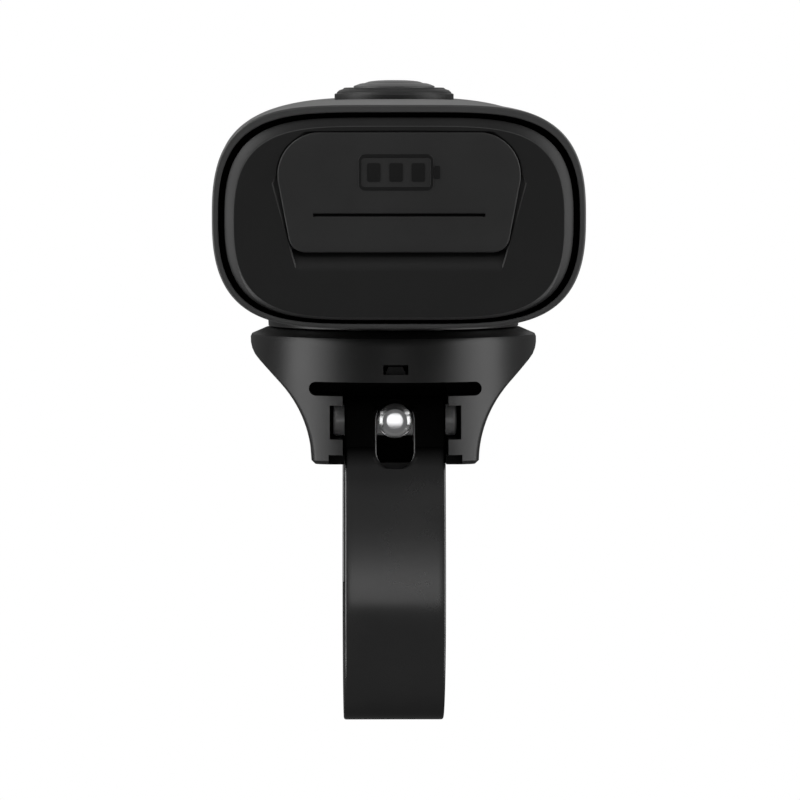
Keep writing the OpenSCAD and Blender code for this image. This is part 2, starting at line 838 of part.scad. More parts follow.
// Power button: domed cap that slides down in its boot onto the switch
module power_button() {
    edge_h = boot_h + 0.1;
    color([0.16, 0.16, 0.165])
        translate([0, button_y, spot_z])
            rotate_extrude()
                polygon(concat(
                    [[0, -button_depth()], [button_stem_r, -button_depth()],
                        [button_stem_r, -wall], [button_r, -wall],
                        [button_r, edge_h]],
                    [for (i = [1 : 8])
                        let (t = 90 * i / 8)
                            [button_r * 0.4 + button_r * 0.6 * cos(t), edge_h + (button_h - edge_h) * sin(t)]],
                    [[0, button_h]]
                ));
}

// Depth of the button's stem below the foot of its surround, down to just above the switch
function button_depth() = spot_z - (board_z + board_t + switch_h) - button_travel - slip_gap;

// Front bezel: ring that closes the front of the housing and holds the lens
module front_bezel() {
    seam = 0.35;
    front_round = 0.7;
    color([0.09, 0.09, 0.095])
        difference() {
            head_loft([
                [bezel_y, 0, 0, 0, corner_power],
                [bezel_y + seam, seam, seam, 0, corner_power],
                [bezel_y + 2 * seam, 0, 0, 0, corner_power],
                [head_y1 - front_round, 0, 0, 0, corner_power],
                [head_y1, front_round, front_round, 0, corner_power]
            ]);
            head_slab(wall, bezel_y - cut, lens_y + lens_t);
            head_slab(lens_in + 0.4, lens_y, head_y1 + cut);
        }
}

// Lens seal: rubber frame between the reflector and the lens
module lens_seal() {
    color([0.03, 0.03, 0.03])
        difference() {
            head_slab(wall + slip_gap, lens_y - 0.2, lens_y);
            head_slab(lens_in + 0.4, lens_y - cut, lens_y + cut);
        }
}

// Front lens: clear window held behind the lip of the bezel
module front_lens() {
    color([0.9, 0.95, 1, 0.4]) {
        head_slab(wall + slip_gap, lens_y, lens_y + lens_t - run_gap);
    }
}

// Reflector: block with two bright bowls, one around each lamp
module reflector() {
    bowl_steps = 10;
    color([0.85, 0.85, 0.87])
        difference() {
            head_slab(wall + slip_gap, reflector_y, reflector_y + reflector_len);
            for (side = [-1, 1])
                translate([side * lamp_pitch / 2, reflector_y, head_z])
                    rotate([-90, 0, 0])
                        rotate_extrude()
                            polygon(concat(
                                [[0, -cut], [cup_throat_r, -cut]],
                                [for (i = [0 : bowl_steps])
                                    let (s = i / bowl_steps, flare = cup_mouth_r - cup_throat_r)
                                        [cup_throat_r + flare * sqrt(s), s * reflector_len]],
                                [[cup_mouth_r, reflector_len + cut], [0, reflector_len + cut]]
                            ));
        }
}

// Lamp board: aluminium board that carries the lamps
module led_board() {
    color([0.9, 0.9, 0.88])
        head_slab(wall + slip_gap, led_board_y, led_board_y + led_board_t);
}

// Lamp chips: one in the throat of each bowl
module led_emitters() {
    color([0.95, 0.85, 0.3])
        for (side = [-1, 1])
            translate([side * lamp_pitch / 2 - chip_w / 2, reflector_y, head_z - chip_w / 2])
                cube([chip_w, chip_t, chip_w]);
}

// Heat spreader: metal plate behind the lamp board
module heat_spreader() {
    color([0.6, 0.6, 0.62])
        difference() {
            head_slab(wall + slip_gap, spreader_y, led_board_y);
            for (side = [-1, 1])
                spreader_screw_place(side)
                    cylinder(d = spreader_screw_d + 2 * run_gap, h = 4 * spreader_t, center = true);
        }
}

module spreader_screw_place(side) {
    translate([side * spreader_screw_x, led_board_y, head_z])
        rotate([90, 0, 0])
            children();
}

// Spreader screws: two screws from the cradle side into the heat spreader
module spreader_screws() {
    color([0.5, 0.5, 0.52])
        for (side = [-1, 1])
            spreader_screw_place(side) {
                cylinder(d = spreader_screw_d, h = spreader_t);
                translate([0, 0, spreader_t])
                    cylinder(d = spreader_screw_head_d, h = spreader_screw_head_h);
            }
}

// Battery cells: two round cells lying side by side
module battery_cells() {
    color([0.2, 0.35, 0.6])
        for (side = [-1, 1])
            translate([side * (cell_d + cell_gap) / 2, cell_y1, cell_z])
                rotate([90, 0, 0])
                    cylinder(d = cell_d, h = cell_len);
}

// Battery cradle: tray on the floor of the housing that the cells and the board sit on
module battery_cradle() {
    y1 = spreader_y - run_gap;
    y0 = cell_y1 - cell_len - 1;
    color([0.2, 0.2, 0.21])
        difference() {
            intersection() {
                head_slab(wall + slip_gap, y0, y1);
                translate([-tray_half, y0, head_z0])
                    cube([2 * tray_half, y1 - y0, board_z - head_z0]);
            }
            for (side = [-1, 1])
                translate([side * (cell_d + cell_gap) / 2, cell_y1 + run_gap, cell_z])
                    rotate([90, 0, 0])
                        cylinder(d = cell_d + 2 * run_gap, h = cell_len + 2 * run_gap);
            translate([tray_wall - tray_half, y0 - cut, cell_z])
                cube([2 * (tray_half - tray_wall), cell_y1 - y0 + cut, head_h]);
            for (side = [-1, 1])
                spreader_screw_place(side)
                    cylinder(d = spreader_screw_head_d + 2 * free_gap, h = 2 * spreader_t);
            for (side = [-1, 1])
                translate([0, side * foot_screw_y, head_z0])
                    cylinder(d = foot_screw_d + 0.4, h = 2 * wall);
        }
}

// Main board: circuit board over the cells
module main_board() {
    y0 = ledge_y;
    y1 = spreader_y - 1;
    color([0.05, 0.25, 0.12])
        translate([-board_w / 2, y0, board_z])
            cube([board_w, y1 - y0, board_t]);
}

// Charging socket: metal shell under the back end of the board
module usb_socket() {
    y0 = ledge_y - socket_proud;
    color([0.7, 0.7, 0.72])
        along(y0, y0 + socket_depth)
            translate([0, port_z])
                difference() {
                    slot_shape(socket_w, socket_h);
                    slot_shape(socket_w - 2 * socket_wall, socket_h - 2 * socket_wall);
                }
}

// Switch: small push switch on the board under the button
module tact_switch() {
    color([0.3, 0.3, 0.3])
        translate([0, button_y, board_z + board_t]) {
            translate([-switch_w / 2, -switch_w / 2, 0])
                cube([switch_w, switch_w, switch_h - 0.5]);
            cylinder(d = 2.4, h = switch_h);
        }
}

bracket();
detent_spring();
saddle_pad();
clamp_band();
band_liner();
front_pin();
rear_pin();
clamp_bolt();
clamp_nut();
nut_washer();
foot();
foot_screws();
housing();
rear_seal();
rear_cap();
port_flap();
button_boot();
power_button();
front_bezel();
lens_seal();
front_lens();
reflector();
led_board();
led_emitters();
heat_spreader();
spreader_screws();
battery_cells();
battery_cradle();
main_board();
usb_socket();
tact_switch();
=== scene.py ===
import bmesh
import bpy
import numpy as np
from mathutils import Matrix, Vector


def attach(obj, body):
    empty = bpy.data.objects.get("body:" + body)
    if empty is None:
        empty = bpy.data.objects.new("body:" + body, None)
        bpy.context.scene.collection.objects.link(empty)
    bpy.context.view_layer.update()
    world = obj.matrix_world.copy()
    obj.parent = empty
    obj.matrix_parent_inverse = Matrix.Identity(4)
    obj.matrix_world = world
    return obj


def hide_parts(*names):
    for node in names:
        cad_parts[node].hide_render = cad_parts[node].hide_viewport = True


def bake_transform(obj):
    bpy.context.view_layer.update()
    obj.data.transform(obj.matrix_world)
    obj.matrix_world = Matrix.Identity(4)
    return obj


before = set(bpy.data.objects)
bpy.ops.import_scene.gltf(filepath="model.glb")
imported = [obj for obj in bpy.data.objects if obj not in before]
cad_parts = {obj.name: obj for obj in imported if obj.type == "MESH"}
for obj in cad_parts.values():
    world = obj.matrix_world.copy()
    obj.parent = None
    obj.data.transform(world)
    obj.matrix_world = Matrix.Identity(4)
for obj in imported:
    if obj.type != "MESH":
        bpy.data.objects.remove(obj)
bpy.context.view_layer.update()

# Bracket: the moulded pedestal that carries the lamp, glass-filled black nylon from a two-part tool.
# It sits on the handlebar over the saddle pad, and the clamp band's pins lie in its side pockets.
# The piece is the solid with its facets welded and smoothed, so that its flanks shade as one curve.


def object_from(name, mesh, body):
    """Puts a finished mesh in the scene under a name, riding on a body of the lamp."""
    piece = bpy.data.objects.new(name, mesh)
    bpy.context.scene.collection.objects.link(piece)
    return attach(piece, body)


def welded(name, node, body, crease):
    """A copy of a solid whose loose triangles are joined; edges sharper than crease degrees stay crisp."""
    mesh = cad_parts[node].data.copy()
    mesh.name = name
    work = bmesh.new()
    work.from_mesh(mesh)
    bmesh.ops.remove_doubles(work, verts=work.verts, dist=2e-6)
    bmesh.ops.dissolve_degenerate(work, dist=1e-6, edges=work.edges)
    work.to_mesh(mesh)
    work.free()
    if mesh.has_custom_normals:
        mesh.attributes.remove(mesh.attributes["custom_normal"])
    mesh.shade_smooth()
    mesh.set_sharp_from_angle(angle=np.radians(crease))
    piece = object_from(name, mesh, body)
    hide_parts(node)
    return piece


def moulded(name, dark, light, rough, grain, depth, coat=0.0, metal=0.0, spread=0.06):
    """Moulded or drawn surface: two near tones clouded by a coarse noise, with a fine grain in the relief.

    dark and light are the linear tones, rough the mean roughness, grain the grains per metre,
    depth the height of the grain in metres, spread the swing of the roughness."""
    stuff = bpy.data.materials.new(name)
    stuff.use_nodes = True
    nodes, links = stuff.node_tree.nodes, stuff.node_tree.links
    shader = nodes["Principled BSDF"]
    place = nodes.new("ShaderNodeTexCoord")
    cloud = nodes.new("ShaderNodeTexNoise")
    cloud.inputs["Scale"].default_value = 140.0
    cloud.inputs["Detail"].default_value = 5.0
    links.new(place.outputs["Object"], cloud.inputs["Vector"])
    tone = nodes.new("ShaderNodeValToRGB")
    tone.color_ramp.elements[0].position = 0.3
    tone.color_ramp.elements[0].color = (*dark, 1)
    tone.color_ramp.elements[1].position = 0.7
    tone.color_ramp.elements[1].color = (*light, 1)
    links.new(cloud.outputs["Fac"], tone.inputs["Fac"])
    links.new(tone.outputs["Color"], shader.inputs["Base Color"])
    speck = nodes.new("ShaderNodeTexNoise")
    speck.inputs["Scale"].default_value = grain
    speck.inputs["Detail"].default_value = 2.0
    links.new(place.outputs["Object"], speck.inputs["Vector"])
    gloss = nodes.new("ShaderNodeMapRange")
    gloss.inputs["To Min"].default_value = rough - spread
    gloss.inputs["To Max"].default_value = rough + spread
    links.new(cloud.outputs["Fac"], gloss.inputs["Value"])
    links.new(gloss.outputs["Result"], shader.inputs["Roughness"])
    relief = nodes.new("ShaderNodeBump")
    relief.inputs["Strength"].default_value = 0.5
    relief.inputs["Distance"].default_value = depth
    links.new(speck.outputs["Fac"], relief.inputs["Height"])
    links.new(relief.outputs["Normal"], shader.inputs["Normal"])
    shader.inputs["Coat Weight"].default_value = coat
    shader.inputs["Coat Roughness"].default_value = 0.25
    shader.inputs["Metallic"].default_value = metal
    return stuff


def finish(piece, stuff):
    """Gives a piece its material."""
    piece.data.materials.clear()
    piece.data.materials.append(stuff)


nylon = moulded("black_nylon", (0.0045,) * 3, (0.0070,) * 3, 0.37, 5200.0, 6e-6)
bracket = welded("pedestal", "bracket", "bracket", 32.0)
finish(bracket, nylon)
# A near-black, dull material for faces in recesses: painted shade.
painted_recess_shade = moulded("painted_shade_in_recesses", (0.0016,) * 3, (0.0024,) * 3, 0.8, 3800.0, 1e-5)
painted_recess_shade.node_tree.nodes["Principled BSDF"].inputs["Specular IOR Level"].default_value = 0.08


def face_middles(piece):
    """Middle points of all faces of a piece, in millimetres."""
    middles = np.empty(len(piece.data.polygons) * 3)
    piece.data.polygons.foreach_get("center", middles)
    return middles.reshape(-1, 3).T * 1000


def paint_faces(piece, where, stuff=painted_recess_shade):
    """Gives faces a second material; by default the painted recess shade, which paints shade into faces that lie in a
    recess.
    """
    index = np.empty(len(piece.data.polygons), np.int32)
    piece.data.polygons.foreach_get("material_index", index)
    piece.data.materials.append(stuff)
    index[where] = len(piece.data.materials) - 1
    piece.data.polygons.foreach_set("material_index", index)


BRACKET_SKIN_R, PAD_SEAT_TOP, SLOT_BELOW, SLOT_ABOVE = 18.9, 18.15, 26.9, 31.6
PIN_POCKET_HALF, LONG_SLOT_HALF = 9.0, 11.6
x, y, z = face_middles(bracket)
recess_half = np.where(z < SLOT_BELOW, PIN_POCKET_HALF, LONG_SLOT_HALF)
# The faces inside the pin pockets and the long slot are painted near black: painted shade.
paint_faces(bracket, (np.abs(x) < recess_half) & (np.hypot(x, y) < BRACKET_SKIN_R) & (z > PAD_SEAT_TOP) & (z < SLOT_ABOVE))

# Detent leaf: a strip of spring steel let into the bracket, seen edge on in the small rear window.
# Its bump clicks into the turntable of the foot, so that the head rests at each quarter turn.


def dress(node, stuff):
    """Gives a solid that stays as it is its own material."""
    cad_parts[node].data.materials.clear()
    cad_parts[node].data.materials.append(stuff)


dress("detent_spring", moulded("blued_spring_steel", (0.003,) * 3, (0.005,) * 3, 0.5, 3000.0, 3e-6))

# Saddle pad: soft black rubber keyed into the bracket's foot, between it and the handlebar.
# Two wings fill the seat beside the band and are drawn snug in it; the pad's hollow face beds on the bar.
rubber = moulded("soft_black_rubber", (0.010,) * 3, (0.016,) * 3, 0.62, 4200.0, 9e-6)
pad = welded("bar_pad", "saddle_pad", "bracket", 25.0)
finish(pad, rubber)
pad_points = np.empty(len(pad.data.vertices) * 3)
pad.data.vertices.foreach_get("co", pad_points)
WING_OUT, WING_IN = 0.00884, 0.00674
side = np.abs(pad_points[0::3])
snug = np.where(side > 0.0086, WING_OUT, np.where((side > 0.0069) & (side < 0.0071), WING_IN, side))
pad_points[0::3] = np.copysign(snug, pad_points[0::3])
pad.data.vertices.foreach_set("co", pad_points)
x, y, z = face_middles(pad)
# The pad's top faces, inside the bracket, take the painted recess shade.
paint_faces(pad, z > PAD_SEAT_TOP - 0.1)

# Clamp band: one strip of blackened spring steel, bent round the bar and rolled into an eye at each end.
# A punched slot with an eased edge lets the bolt pass; its runs have a satin sheen, and from the bracket's lower edge
# upwards the strip's tone is painted dark as painted shade, its eyes nearly black with it.
# The back half moves out with the bolt while the front half stays on its pin.


def shell_mesh(name, points, quads, crease):
    """Mesh from whole arrays: points in millimetres, quads as index rows; doubles merged, faces outwards."""
    mesh = bpy.data.meshes.new(name)
    mesh.from_pydata((points * 0.001).tolist(), [], quads.tolist())
    work = bmesh.new()
    work.from_mesh(mesh)
    bmesh.ops.remove_doubles(work, verts=work.verts, dist=1e-6)
    bmesh.ops.dissolve_degenerate(work, dist=1e-7, edges=work.edges)
    bmesh.ops.recalc_face_normals(work, faces=work.faces)
    work.to_mesh(mesh)
    work.free()
    mesh.shade_smooth()
    mesh.set_sharp_from_angle(angle=np.radians(crease))
    return mesh


def patch(rows, columns, first, wrap):
    """Index rows of a grid of points numbered from first: each cell joins a point to its right and lower ones."""
    k, i = np.meshgrid(np.arange(rows - 1), np.arange(columns if wrap else columns - 1), indexing="ij")
    j = (i + 1) % columns
    cells = np.stack([k * columns + i, k * columns + j, (k + 1) * columns + j, (k + 1) * columns + i], axis=-1)
    return first + cells.reshape(-1, 4)


LOOP_R, RUN_R, BOLT_Z = 16.9, 70.0, 23.7
STRIP_HALF_T, STRIP_HALF_W, SLOT_HALF, SLOT_LOW, SLOT_HIGH = 0.4, 6.7, 2.4, 17.3, 26.1
EYES = {}
for side, eye_r in (("back", 2.55), ("front", 4.25)):
    begin = np.arcsin(BOLT_Z / (RUN_R - eye_r))
    EYES[side] = (LOOP_R - RUN_R + (RUN_R - eye_r) * np.cos(begin), begin, eye_r)


def half_path(side, offset):
    """Half of the strip's middle line in y and z, from the lowest point of the loop up to the end of one eye.

    A quarter circle of radius 16.9 round the bar, a run bowed in a radius of 70, and the eye's ring
    of 250 degrees, which starts where ring and run have one tangent; offset moves the line outwards."""
    eye_y, begin, eye_r = EYES[side]
    low = np.radians(np.linspace(-90.0, 0.0, 61))
    loop = (LOOP_R + offset) * np.stack([np.cos(low), np.sin(low)], axis=1)
    slot_end = SLOT_LOW + SLOT_HALF - SLOT_HALF * np.cos(np.linspace(0, np.pi / 2, 18))
    level = np.unique(np.concatenate([np.linspace(0.4, 17.2, 40), slot_end, np.linspace(19.9, 23.9, 14)]))
    angle = np.arcsin(level / RUN_R)
    angle = angle[angle < begin]
    run = np.stack([LOOP_R - RUN_R + (RUN_R + offset) * np.cos(angle), (RUN_R + offset) * np.sin(angle)], axis=1)
    turn = begin + np.radians(np.linspace(0.0, 250.0, 90))
    eye = np.stack([eye_y + (eye_r + offset) * np.cos(turn), BOLT_Z + (eye_r + offset) * np.sin(turn)], axis=1)
    return np.concatenate([loop, run, eye])


def band_path(offset):
    """The whole middle line: up the back half from its eye's end to the lowest point, then up the front half."""
    back = half_path("back", offset)[::-1] * np.array([-1.0, 1.0])
    return np.concatenate([back, half_path("front", offset)[1:]])


def strip_mesh(name, half_t, half_w, ease, slot_half, slot_z0, slot_z1):
    """A strip carried along the band's path, with a stadium slot through its runs and eyes.

    Across the strip the profile goes from the rounded outer edge to the slot edge; where there is no slot
    the slot edge lies on the middle line, so that left and right halves meet and weld."""
    inner, outer = band_path(-half_t), band_path(half_t)
    level = (inner[:, 1] + outer[:, 1]) / 2
    mid_low, mid_high = slot_z0 + slot_half, slot_z1 - slot_half
    beyond = np.maximum(mid_low - level, 0) + np.maximum(level - mid_high, 0)
    gap = np.sqrt(np.clip(slot_half ** 2 - beyond ** 2, 0, None))
    bend = np.radians(np.linspace(0, 90, 5))
    inset = ease * (1 - np.cos(bend))
    drop = ease * (1 - np.sin(bend))
    lip = np.minimum(ease, gap)
    rows = len(level)
    flat = np.linspace(0.12, 0.88, 6)
    left_in = gap[:, None] + lip[:, None] * (1 - np.cos(bend))[None, :]
    field = left_in[:, -1:] + (half_w - ease - left_in[:, -1:]) * flat[None, :]
    edge = np.repeat((half_w - inset[::-1])[None, :], rows, axis=0)
    across = np.concatenate([left_in, field, edge], axis=1)
    sink = np.concatenate([lip[:, None] * (1 - np.sin(bend))[None, :], np.zeros((rows, 6)),
                           np.repeat(drop[::-1][None, :], rows, axis=0)], axis=1)
    share = sink / (2 * half_t)
    top = outer[:, None, :] + share[..., None] * (inner - outer)[:, None, :]
    under = inner[:, None, :] + share[..., None] * (outer - inner)[:, None, :]
    columns = across.shape[1]
    loop_x = np.concatenate([across, across[:, ::-1]], axis=1)
    loop_yz = np.concatenate([top, under[:, ::-1]], axis=1)
    half = np.concatenate([loop_x[..., None], loop_yz], axis=2)
    count = 2 * columns
    open_row = (gap[:-1] > 0) | (gap[1:] > 0)
    quads = patch(rows, count, 0, True).reshape(rows - 1, count, 4)
    keep = np.ones((rows - 1, count), bool)
    keep[:, count - 1] = open_row
    ring = np.arange(columns)
    caps = np.concatenate([np.stack([ring[:-1], ring[1:], count - 2 - ring[:-1], count - 1 - ring[:-1]], axis=1)
                           + shift for shift in (0, (rows - 1) * count)])
    right = np.concatenate([quads[keep], caps])
    mirrored = half * np.array([-1.0, 1.0, 1.0])
    points = np.concatenate([half.reshape(-1, 3), mirrored.reshape(-1, 3)])
    return shell_mesh(name, points, np.concatenate([right, right[:, ::-1] + rows * count]), 40.0)


def across_joint(name, mesh, node):
    """Puts a bent piece in the scene in its place and hides the solid it stands for."""
    piece = bpy.data.objects.new(name, mesh)
    bpy.context.scene.collection.objects.link(piece)
    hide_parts(node)
    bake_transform(piece)
    return piece


def shade_painted_steel(name, low, high, least):
    """Blackened steel whose tone is painted darker upwards: full below one height, a least share of it above another,
    in mm; a painted shade.
    """
    stuff = moulded(name, (0.110,) * 3, (0.120,) * 3, 0.27, 2600.0, 2e-6, metal=1.0, spread=0.03)
    nodes, links = stuff.node_tree.nodes, stuff.node_tree.links
    shader = nodes["Principled BSDF"]
    shader.inputs["Specular Tint"].default_value = (0.45, 0.45, 0.45, 1)
    axes = nodes.new("ShaderNodeSeparateXYZ")
    links.new(next(n for n in nodes if n.type == "TEX_COORD").outputs["Object"], axes.inputs["Vector"])
    fade = nodes.new("ShaderNodeMapRange")
    for socket, value in (("From Min", low * 0.001), ("From Max", high * 0.001), ("To Min", 1.0), ("To Max", least)):
        fade.inputs[socket].default_value = value
    links.new(axes.outputs["Z"], fade.inputs["Value"])
    dull = nodes.new("ShaderNodeVectorMath")
    dull.operation = "SCALE"
    links.new(next(n for n in nodes if n.type == "VALTORGB").outputs["Color"], dull.inputs["Vector"])
    links.new(fade.outputs["Result"], dull.inputs["Scale"])
    links.new(dull.outputs["Vector"], shader.inputs["Base Color"])
    return stuff


# Heights in mm between which the strip's painted shade sets in, from the bracket's lower edge upwards.
SHADE_FROM_Z, SHADE_FULL_Z = 17.6, 20.2
strap_mesh = strip_mesh("clamp_strap", STRIP_HALF_T, STRIP_HALF_W, 0.3, SLOT_HALF, SLOT_LOW, SLOT_HIGH)
band = across_joint("clamp_strap", strap_mesh, "clamp_band")
finish(band, shade_painted_steel("blackened_strip_steel_painted_shade", SHADE_FROM_Z, SHADE_FULL_Z, 0.06))
x, y, z = face_middles(band)
slot_edge = (np.abs(x) > SLOT_HALF - 0.1) & (np.abs(x) < SLOT_HALF + 0.35) & (z < SLOT_HIGH - 0.5)
# Above the shade's full height the strip and its eyes take the painted recess shade, all but the slot's eased edge.
paint_faces(band, (z > SHADE_FULL_Z) & ~slot_edge)
# The slot's eased edge keeps the strip's tone below 24 mm and is painted darker above it, to half at 26 mm: painted
# shade.
paint_faces(band, slot_edge, shade_painted_steel("punched_slot_edge_painted_shade", 24.0, 26.0, 0.5))

# Band liner: a thin rubber strip bonded inside the loop, so that the steel doesn't mark the bar.
# It lines the loop's lower half, where the band lies closest to the bar.


def hoop(name, inner_r, outer_r, half_w, ease):
    """A half ring under the bar: a rounded rectangle of the given radii and half width swept over 180 degrees."""
    bend = np.radians(np.linspace(0, 90, 5))
    corner = ease * np.stack([1 - np.cos(bend), 1 - np.sin(bend)], axis=1)
    a = np.concatenate([-half_w + corner[:, 0], half_w - corner[::-1, 0],
                        half_w - corner[:, 0], -half_w + corner[::-1, 0]])
    b = np.concatenate([outer_r - corner[:, 1], outer_r - corner[::-1, 1],
                        inner_r + corner[:, 1], inner_r + corner[::-1, 1]])
    sweep = np.radians(np.linspace(180.0, 360.0, 121))
    points = np.stack([np.repeat(a[None, :], 121, axis=0), np.cos(sweep)[:, None] * b[None, :],
                       np.sin(sweep)[:, None] * b[None, :]], axis=2).reshape(-1, 3)
    count = len(a)
    half = np.arange(count // 2)
    lids = np.concatenate([np.stack([half[:-1], half[1:], count - 2 - half[:-1], count - 1 - half[:-1]], axis=1)
                           + shift for shift in (0, 120 * count)])
    return shell_mesh(name, points, np.concatenate([patch(121, count, 0, True), lids]), 40.0)


liner = across_joint("loop_liner", hoop("loop_liner", 15.92, 16.49, STRIP_HALF_W, 0.15), "band_liner")
finish(liner, rubber)

# Cross pins: turned steel rods that lie in the two eyes, the thick one in front and the slim one at the back.
# Their ends are chamfered on the lathe, and both sit in the bracket's pockets beyond the band's edges.


def turned(name, profile, axis, centre, steps, body, node, crease=30.0):
    """A turned piece: the profile, as pairs of (along, radius), spun about an axis through the centre.

    Point (k, i) is centre + along_k on the axis + radius_k (cos t_i, sin t_i) on the two other axes;
    profiles start and end on the axis, where the rings close to a point."""
    spin = np.linspace(0, 2 * np.pi, steps, endpoint=False)
    along, radius = profile[:, :1], profile[:, 1:2]
    ring = np.stack([np.repeat(along, steps, axis=1), radius * np.cos(spin), radius * np.sin(spin)], axis=2)
    order = {"x": (0, 1, 2), "y": (2, 0, 1), "z": (1, 2, 0)}[axis]
    points = ring[..., list(order)].reshape(-1, 3) + np.array(centre)
    piece = object_from(name, shell_mesh(name, points, patch(len(profile), steps, 0, True), crease), body)
    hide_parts(node)
    return piece


def rod(half_length, r, chamfer):
    """Half-section of a rod with a rounded chamfer at both ends and lathe-faced ends."""
    bend = np.radians(np.linspace(90, 0, 6))
    end = np.stack([half_length - chamfer + chamfer * np.sin(bend), r - chamfer + chamfer * np.cos(bend)], axis=1)
    front = np.concatenate([[[half_length, 0.0], [half_length, 0.5 * r]], end])
    return np.concatenate([front, front[::-1] * np.array([-1.0, 1.0])])


# The pins' steel is given a near-white tone, far lighter than grey phosphate: painted light for pins lit in the
# bracket's pockets.
pin_steel_painted_light = moulded("grey_pin_steel_painted_light", (0.93,) * 3, (0.98,) * 3, 0.36, 2400.0, 3e-6, metal=0.15, spread=0.04)
PIN_HALF = 8.2
rear_at, front_at = (0, -EYES["back"][0], BOLT_Z), (0, EYES["front"][0], BOLT_Z)
rear_rod = turned("rear_rod", rod(PIN_HALF, 2.1, 0.35), "x", rear_at, 96, "bolt", "rear_pin")
front_rod = turned("front_rod", rod(PIN_HALF, 3.8, 0.5), "x", front_at, 128, "bracket", "front_pin")
finish(rear_rod, pin_steel_painted_light)
finish(front_rod, pin_steel_painted_light)

# Clamp bolt: zinc-bright steel, its tenon passed through the back pin and riveted over into a bevelled dome.
# The shank's rolled thread runs in the nut at the front, which draws the two pins together.


def threaded(along, radius, pitch, depth, rows, steps):
    """A rolled thread: radius less depth times a rounded saw tooth of (along / pitch - turn), as rings of points."""
    spin = np.linspace(0, 2 * np.pi, steps, endpoint=False)
    y = np.linspace(along[0], along[1], rows)[:, None]
    phase = (y / pitch - spin[None, :] / (2 * np.pi)) % 1.0
    fade = np.clip(np.minimum(y - along[0], along[1] - y) / 0.6, 0, 1)
    r = radius - depth * fade * (0.5 + 0.5 * np.cos(2 * np.pi * phase)) ** 0.8
    return np.stack([r * np.sin(spin), np.broadcast_to(y, r.shape), r * np.cos(spin)], axis=2)


washer_foot_z = 19.4
nut_y = LOOP_R - RUN_R + np.sqrt((RUN_R + STRIP_HALF_T) ** 2 - washer_foot_z ** 2) + 0.85
tip_y = nut_y + 6.4
spin96 = np.linspace(0, 2 * np.pi, 96, endpoint=False)
tail_y = -EYES["back"][0]
crown_r = np.linspace(0.0, 1.62, 19)
crown = np.stack([-3.41 + crown_r ** 2 / 44 + 0.155 * np.clip(crown_r - 1.05, 0, 1) ** 2, crown_r], axis=1)
rivet = np.concatenate([crown, [[-3.28, 1.66], [-3.12, 1.95], [-2.97, 2.23], [-2.90, 2.30], [-2.78, 2.32],
                                [-1.79, 2.32], [-1.785, 1.4], [1.26, 1.4], [1.26, 1.96], [1.45, 2.0]]])
rivet[:, 0] += tail_y
rivet_rings = np.stack([rivet[:, 1:2] * np.sin(spin96), np.repeat(rivet[:, :1], 96, axis=1),
                        rivet[:, 1:2] * np.cos(spin96)], axis=2)
shank = threaded((tail_y + 1.55, tip_y - 0.4), 2.0, 0.7, 0.3, 600, 96)
tip = np.array([[tip_y - 0.2, 1.85], [tip_y, 1.6], [tip_y, 0.0]])
tip_rings = np.stack([tip[:, 1:2] * np.sin(spin96), np.repeat(tip[:, :1], 96, axis=1),
                      tip[:, 1:2] * np.cos(spin96)], axis=2)
bolt_rings = np.concatenate([rivet_rings, shank, tip_rings]) + np.array([0, 0, BOLT_Z])
bolt_piece = object_from("rivet_bolt", shell_mesh("rivet_bolt", bolt_rings.reshape(-1, 3),
                                                  patch(len(bolt_rings), 96, 0, True), 45.0), "bolt")
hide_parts("clamp_bolt")
zinc = moulded("zinc_bright_steel", (0.76, 0.76, 0.77), (0.86, 0.86, 0.87), 0.13, 1800.0, 2e-6, metal=1.0, spread=0.03)
finish(bolt_piece, zinc)
x, y, z = face_middles(bolt_piece)
# The rivet's outer ring takes a satin finish: its rougher surface is the riveted finish, and its tone, lighter than the
# crown's, is a painted highlight.
satin_zinc_painted_highlight = moulded("satin_rivet_edge_painted_highlight", (0.93,) * 3, (0.98,) * 3, 0.25, 1800.0, 2e-6, metal=0.95, spread=0.03)
paint_faces(bolt_piece, (np.hypot(x, z - BOLT_Z) > crown_r[-1] + 0.02) & (y < tail_y - 2.5), satin_zinc_painted_highlight)

# Clamp nut and washer: a cold-formed hexagon nut with chamfered corners over a flat stamped washer.
# The nut is turned with a 7 mm spanner from the front, and its chamfer runs as a cone round both ends.


def hexagon_nut(name, y0, y1, flats, bore, centre_z):
    """Hexagon of the given width over flats, cut at both ends by a cone: the lesser radius of the two holds."""
    steps = 180
    spin = np.linspace(0, 2 * np.pi, steps, endpoint=False)
    hexagon = flats / 2 / np.cos((spin + np.pi / 6) % (np.pi / 3) - np.pi / 6)
    depth = np.array([0.0, 0.0, 0.08, 0.2, 0.35, 0.55])
    limit = np.array([bore + 0.35, flats / 2 * 0.97, flats / 2 * 1.005, flats / 2 * 1.05, flats / 2 * 1.10, flats])
    side = np.minimum(hexagon[None, :], limit[:, None])
    y = np.concatenate([[y0 + 0.3], y0 + depth, (y1 - depth)[::-1], [y1 - 0.3]])
    r = np.concatenate([np.full((1, steps), bore), side, side[::-1], np.full((1, steps), bore)])
    points = np.stack([r * np.sin(spin), np.repeat(y[:, None], steps, axis=1), r * np.cos(spin) + centre_z], axis=2)
    rows = len(y)
    close = np.stack([np.arange(steps) + (rows - 1) * steps, (np.arange(steps) + 1) % steps + (rows - 1) * steps,
                      (np.arange(steps) + 1) % steps, np.arange(steps)], axis=1)
    return shell_mesh(name, points.reshape(-1, 3), np.concatenate([patch(rows, steps, 0, True), close]), 25.0)


nut_piece = object_from("spanner_nut", hexagon_nut("spanner_nut", nut_y, nut_y + 3.2, 7.0, 2.05, BOLT_Z), "nut")
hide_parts("clamp_nut")
finish(nut_piece, zinc)
dress("nut_washer", zinc)

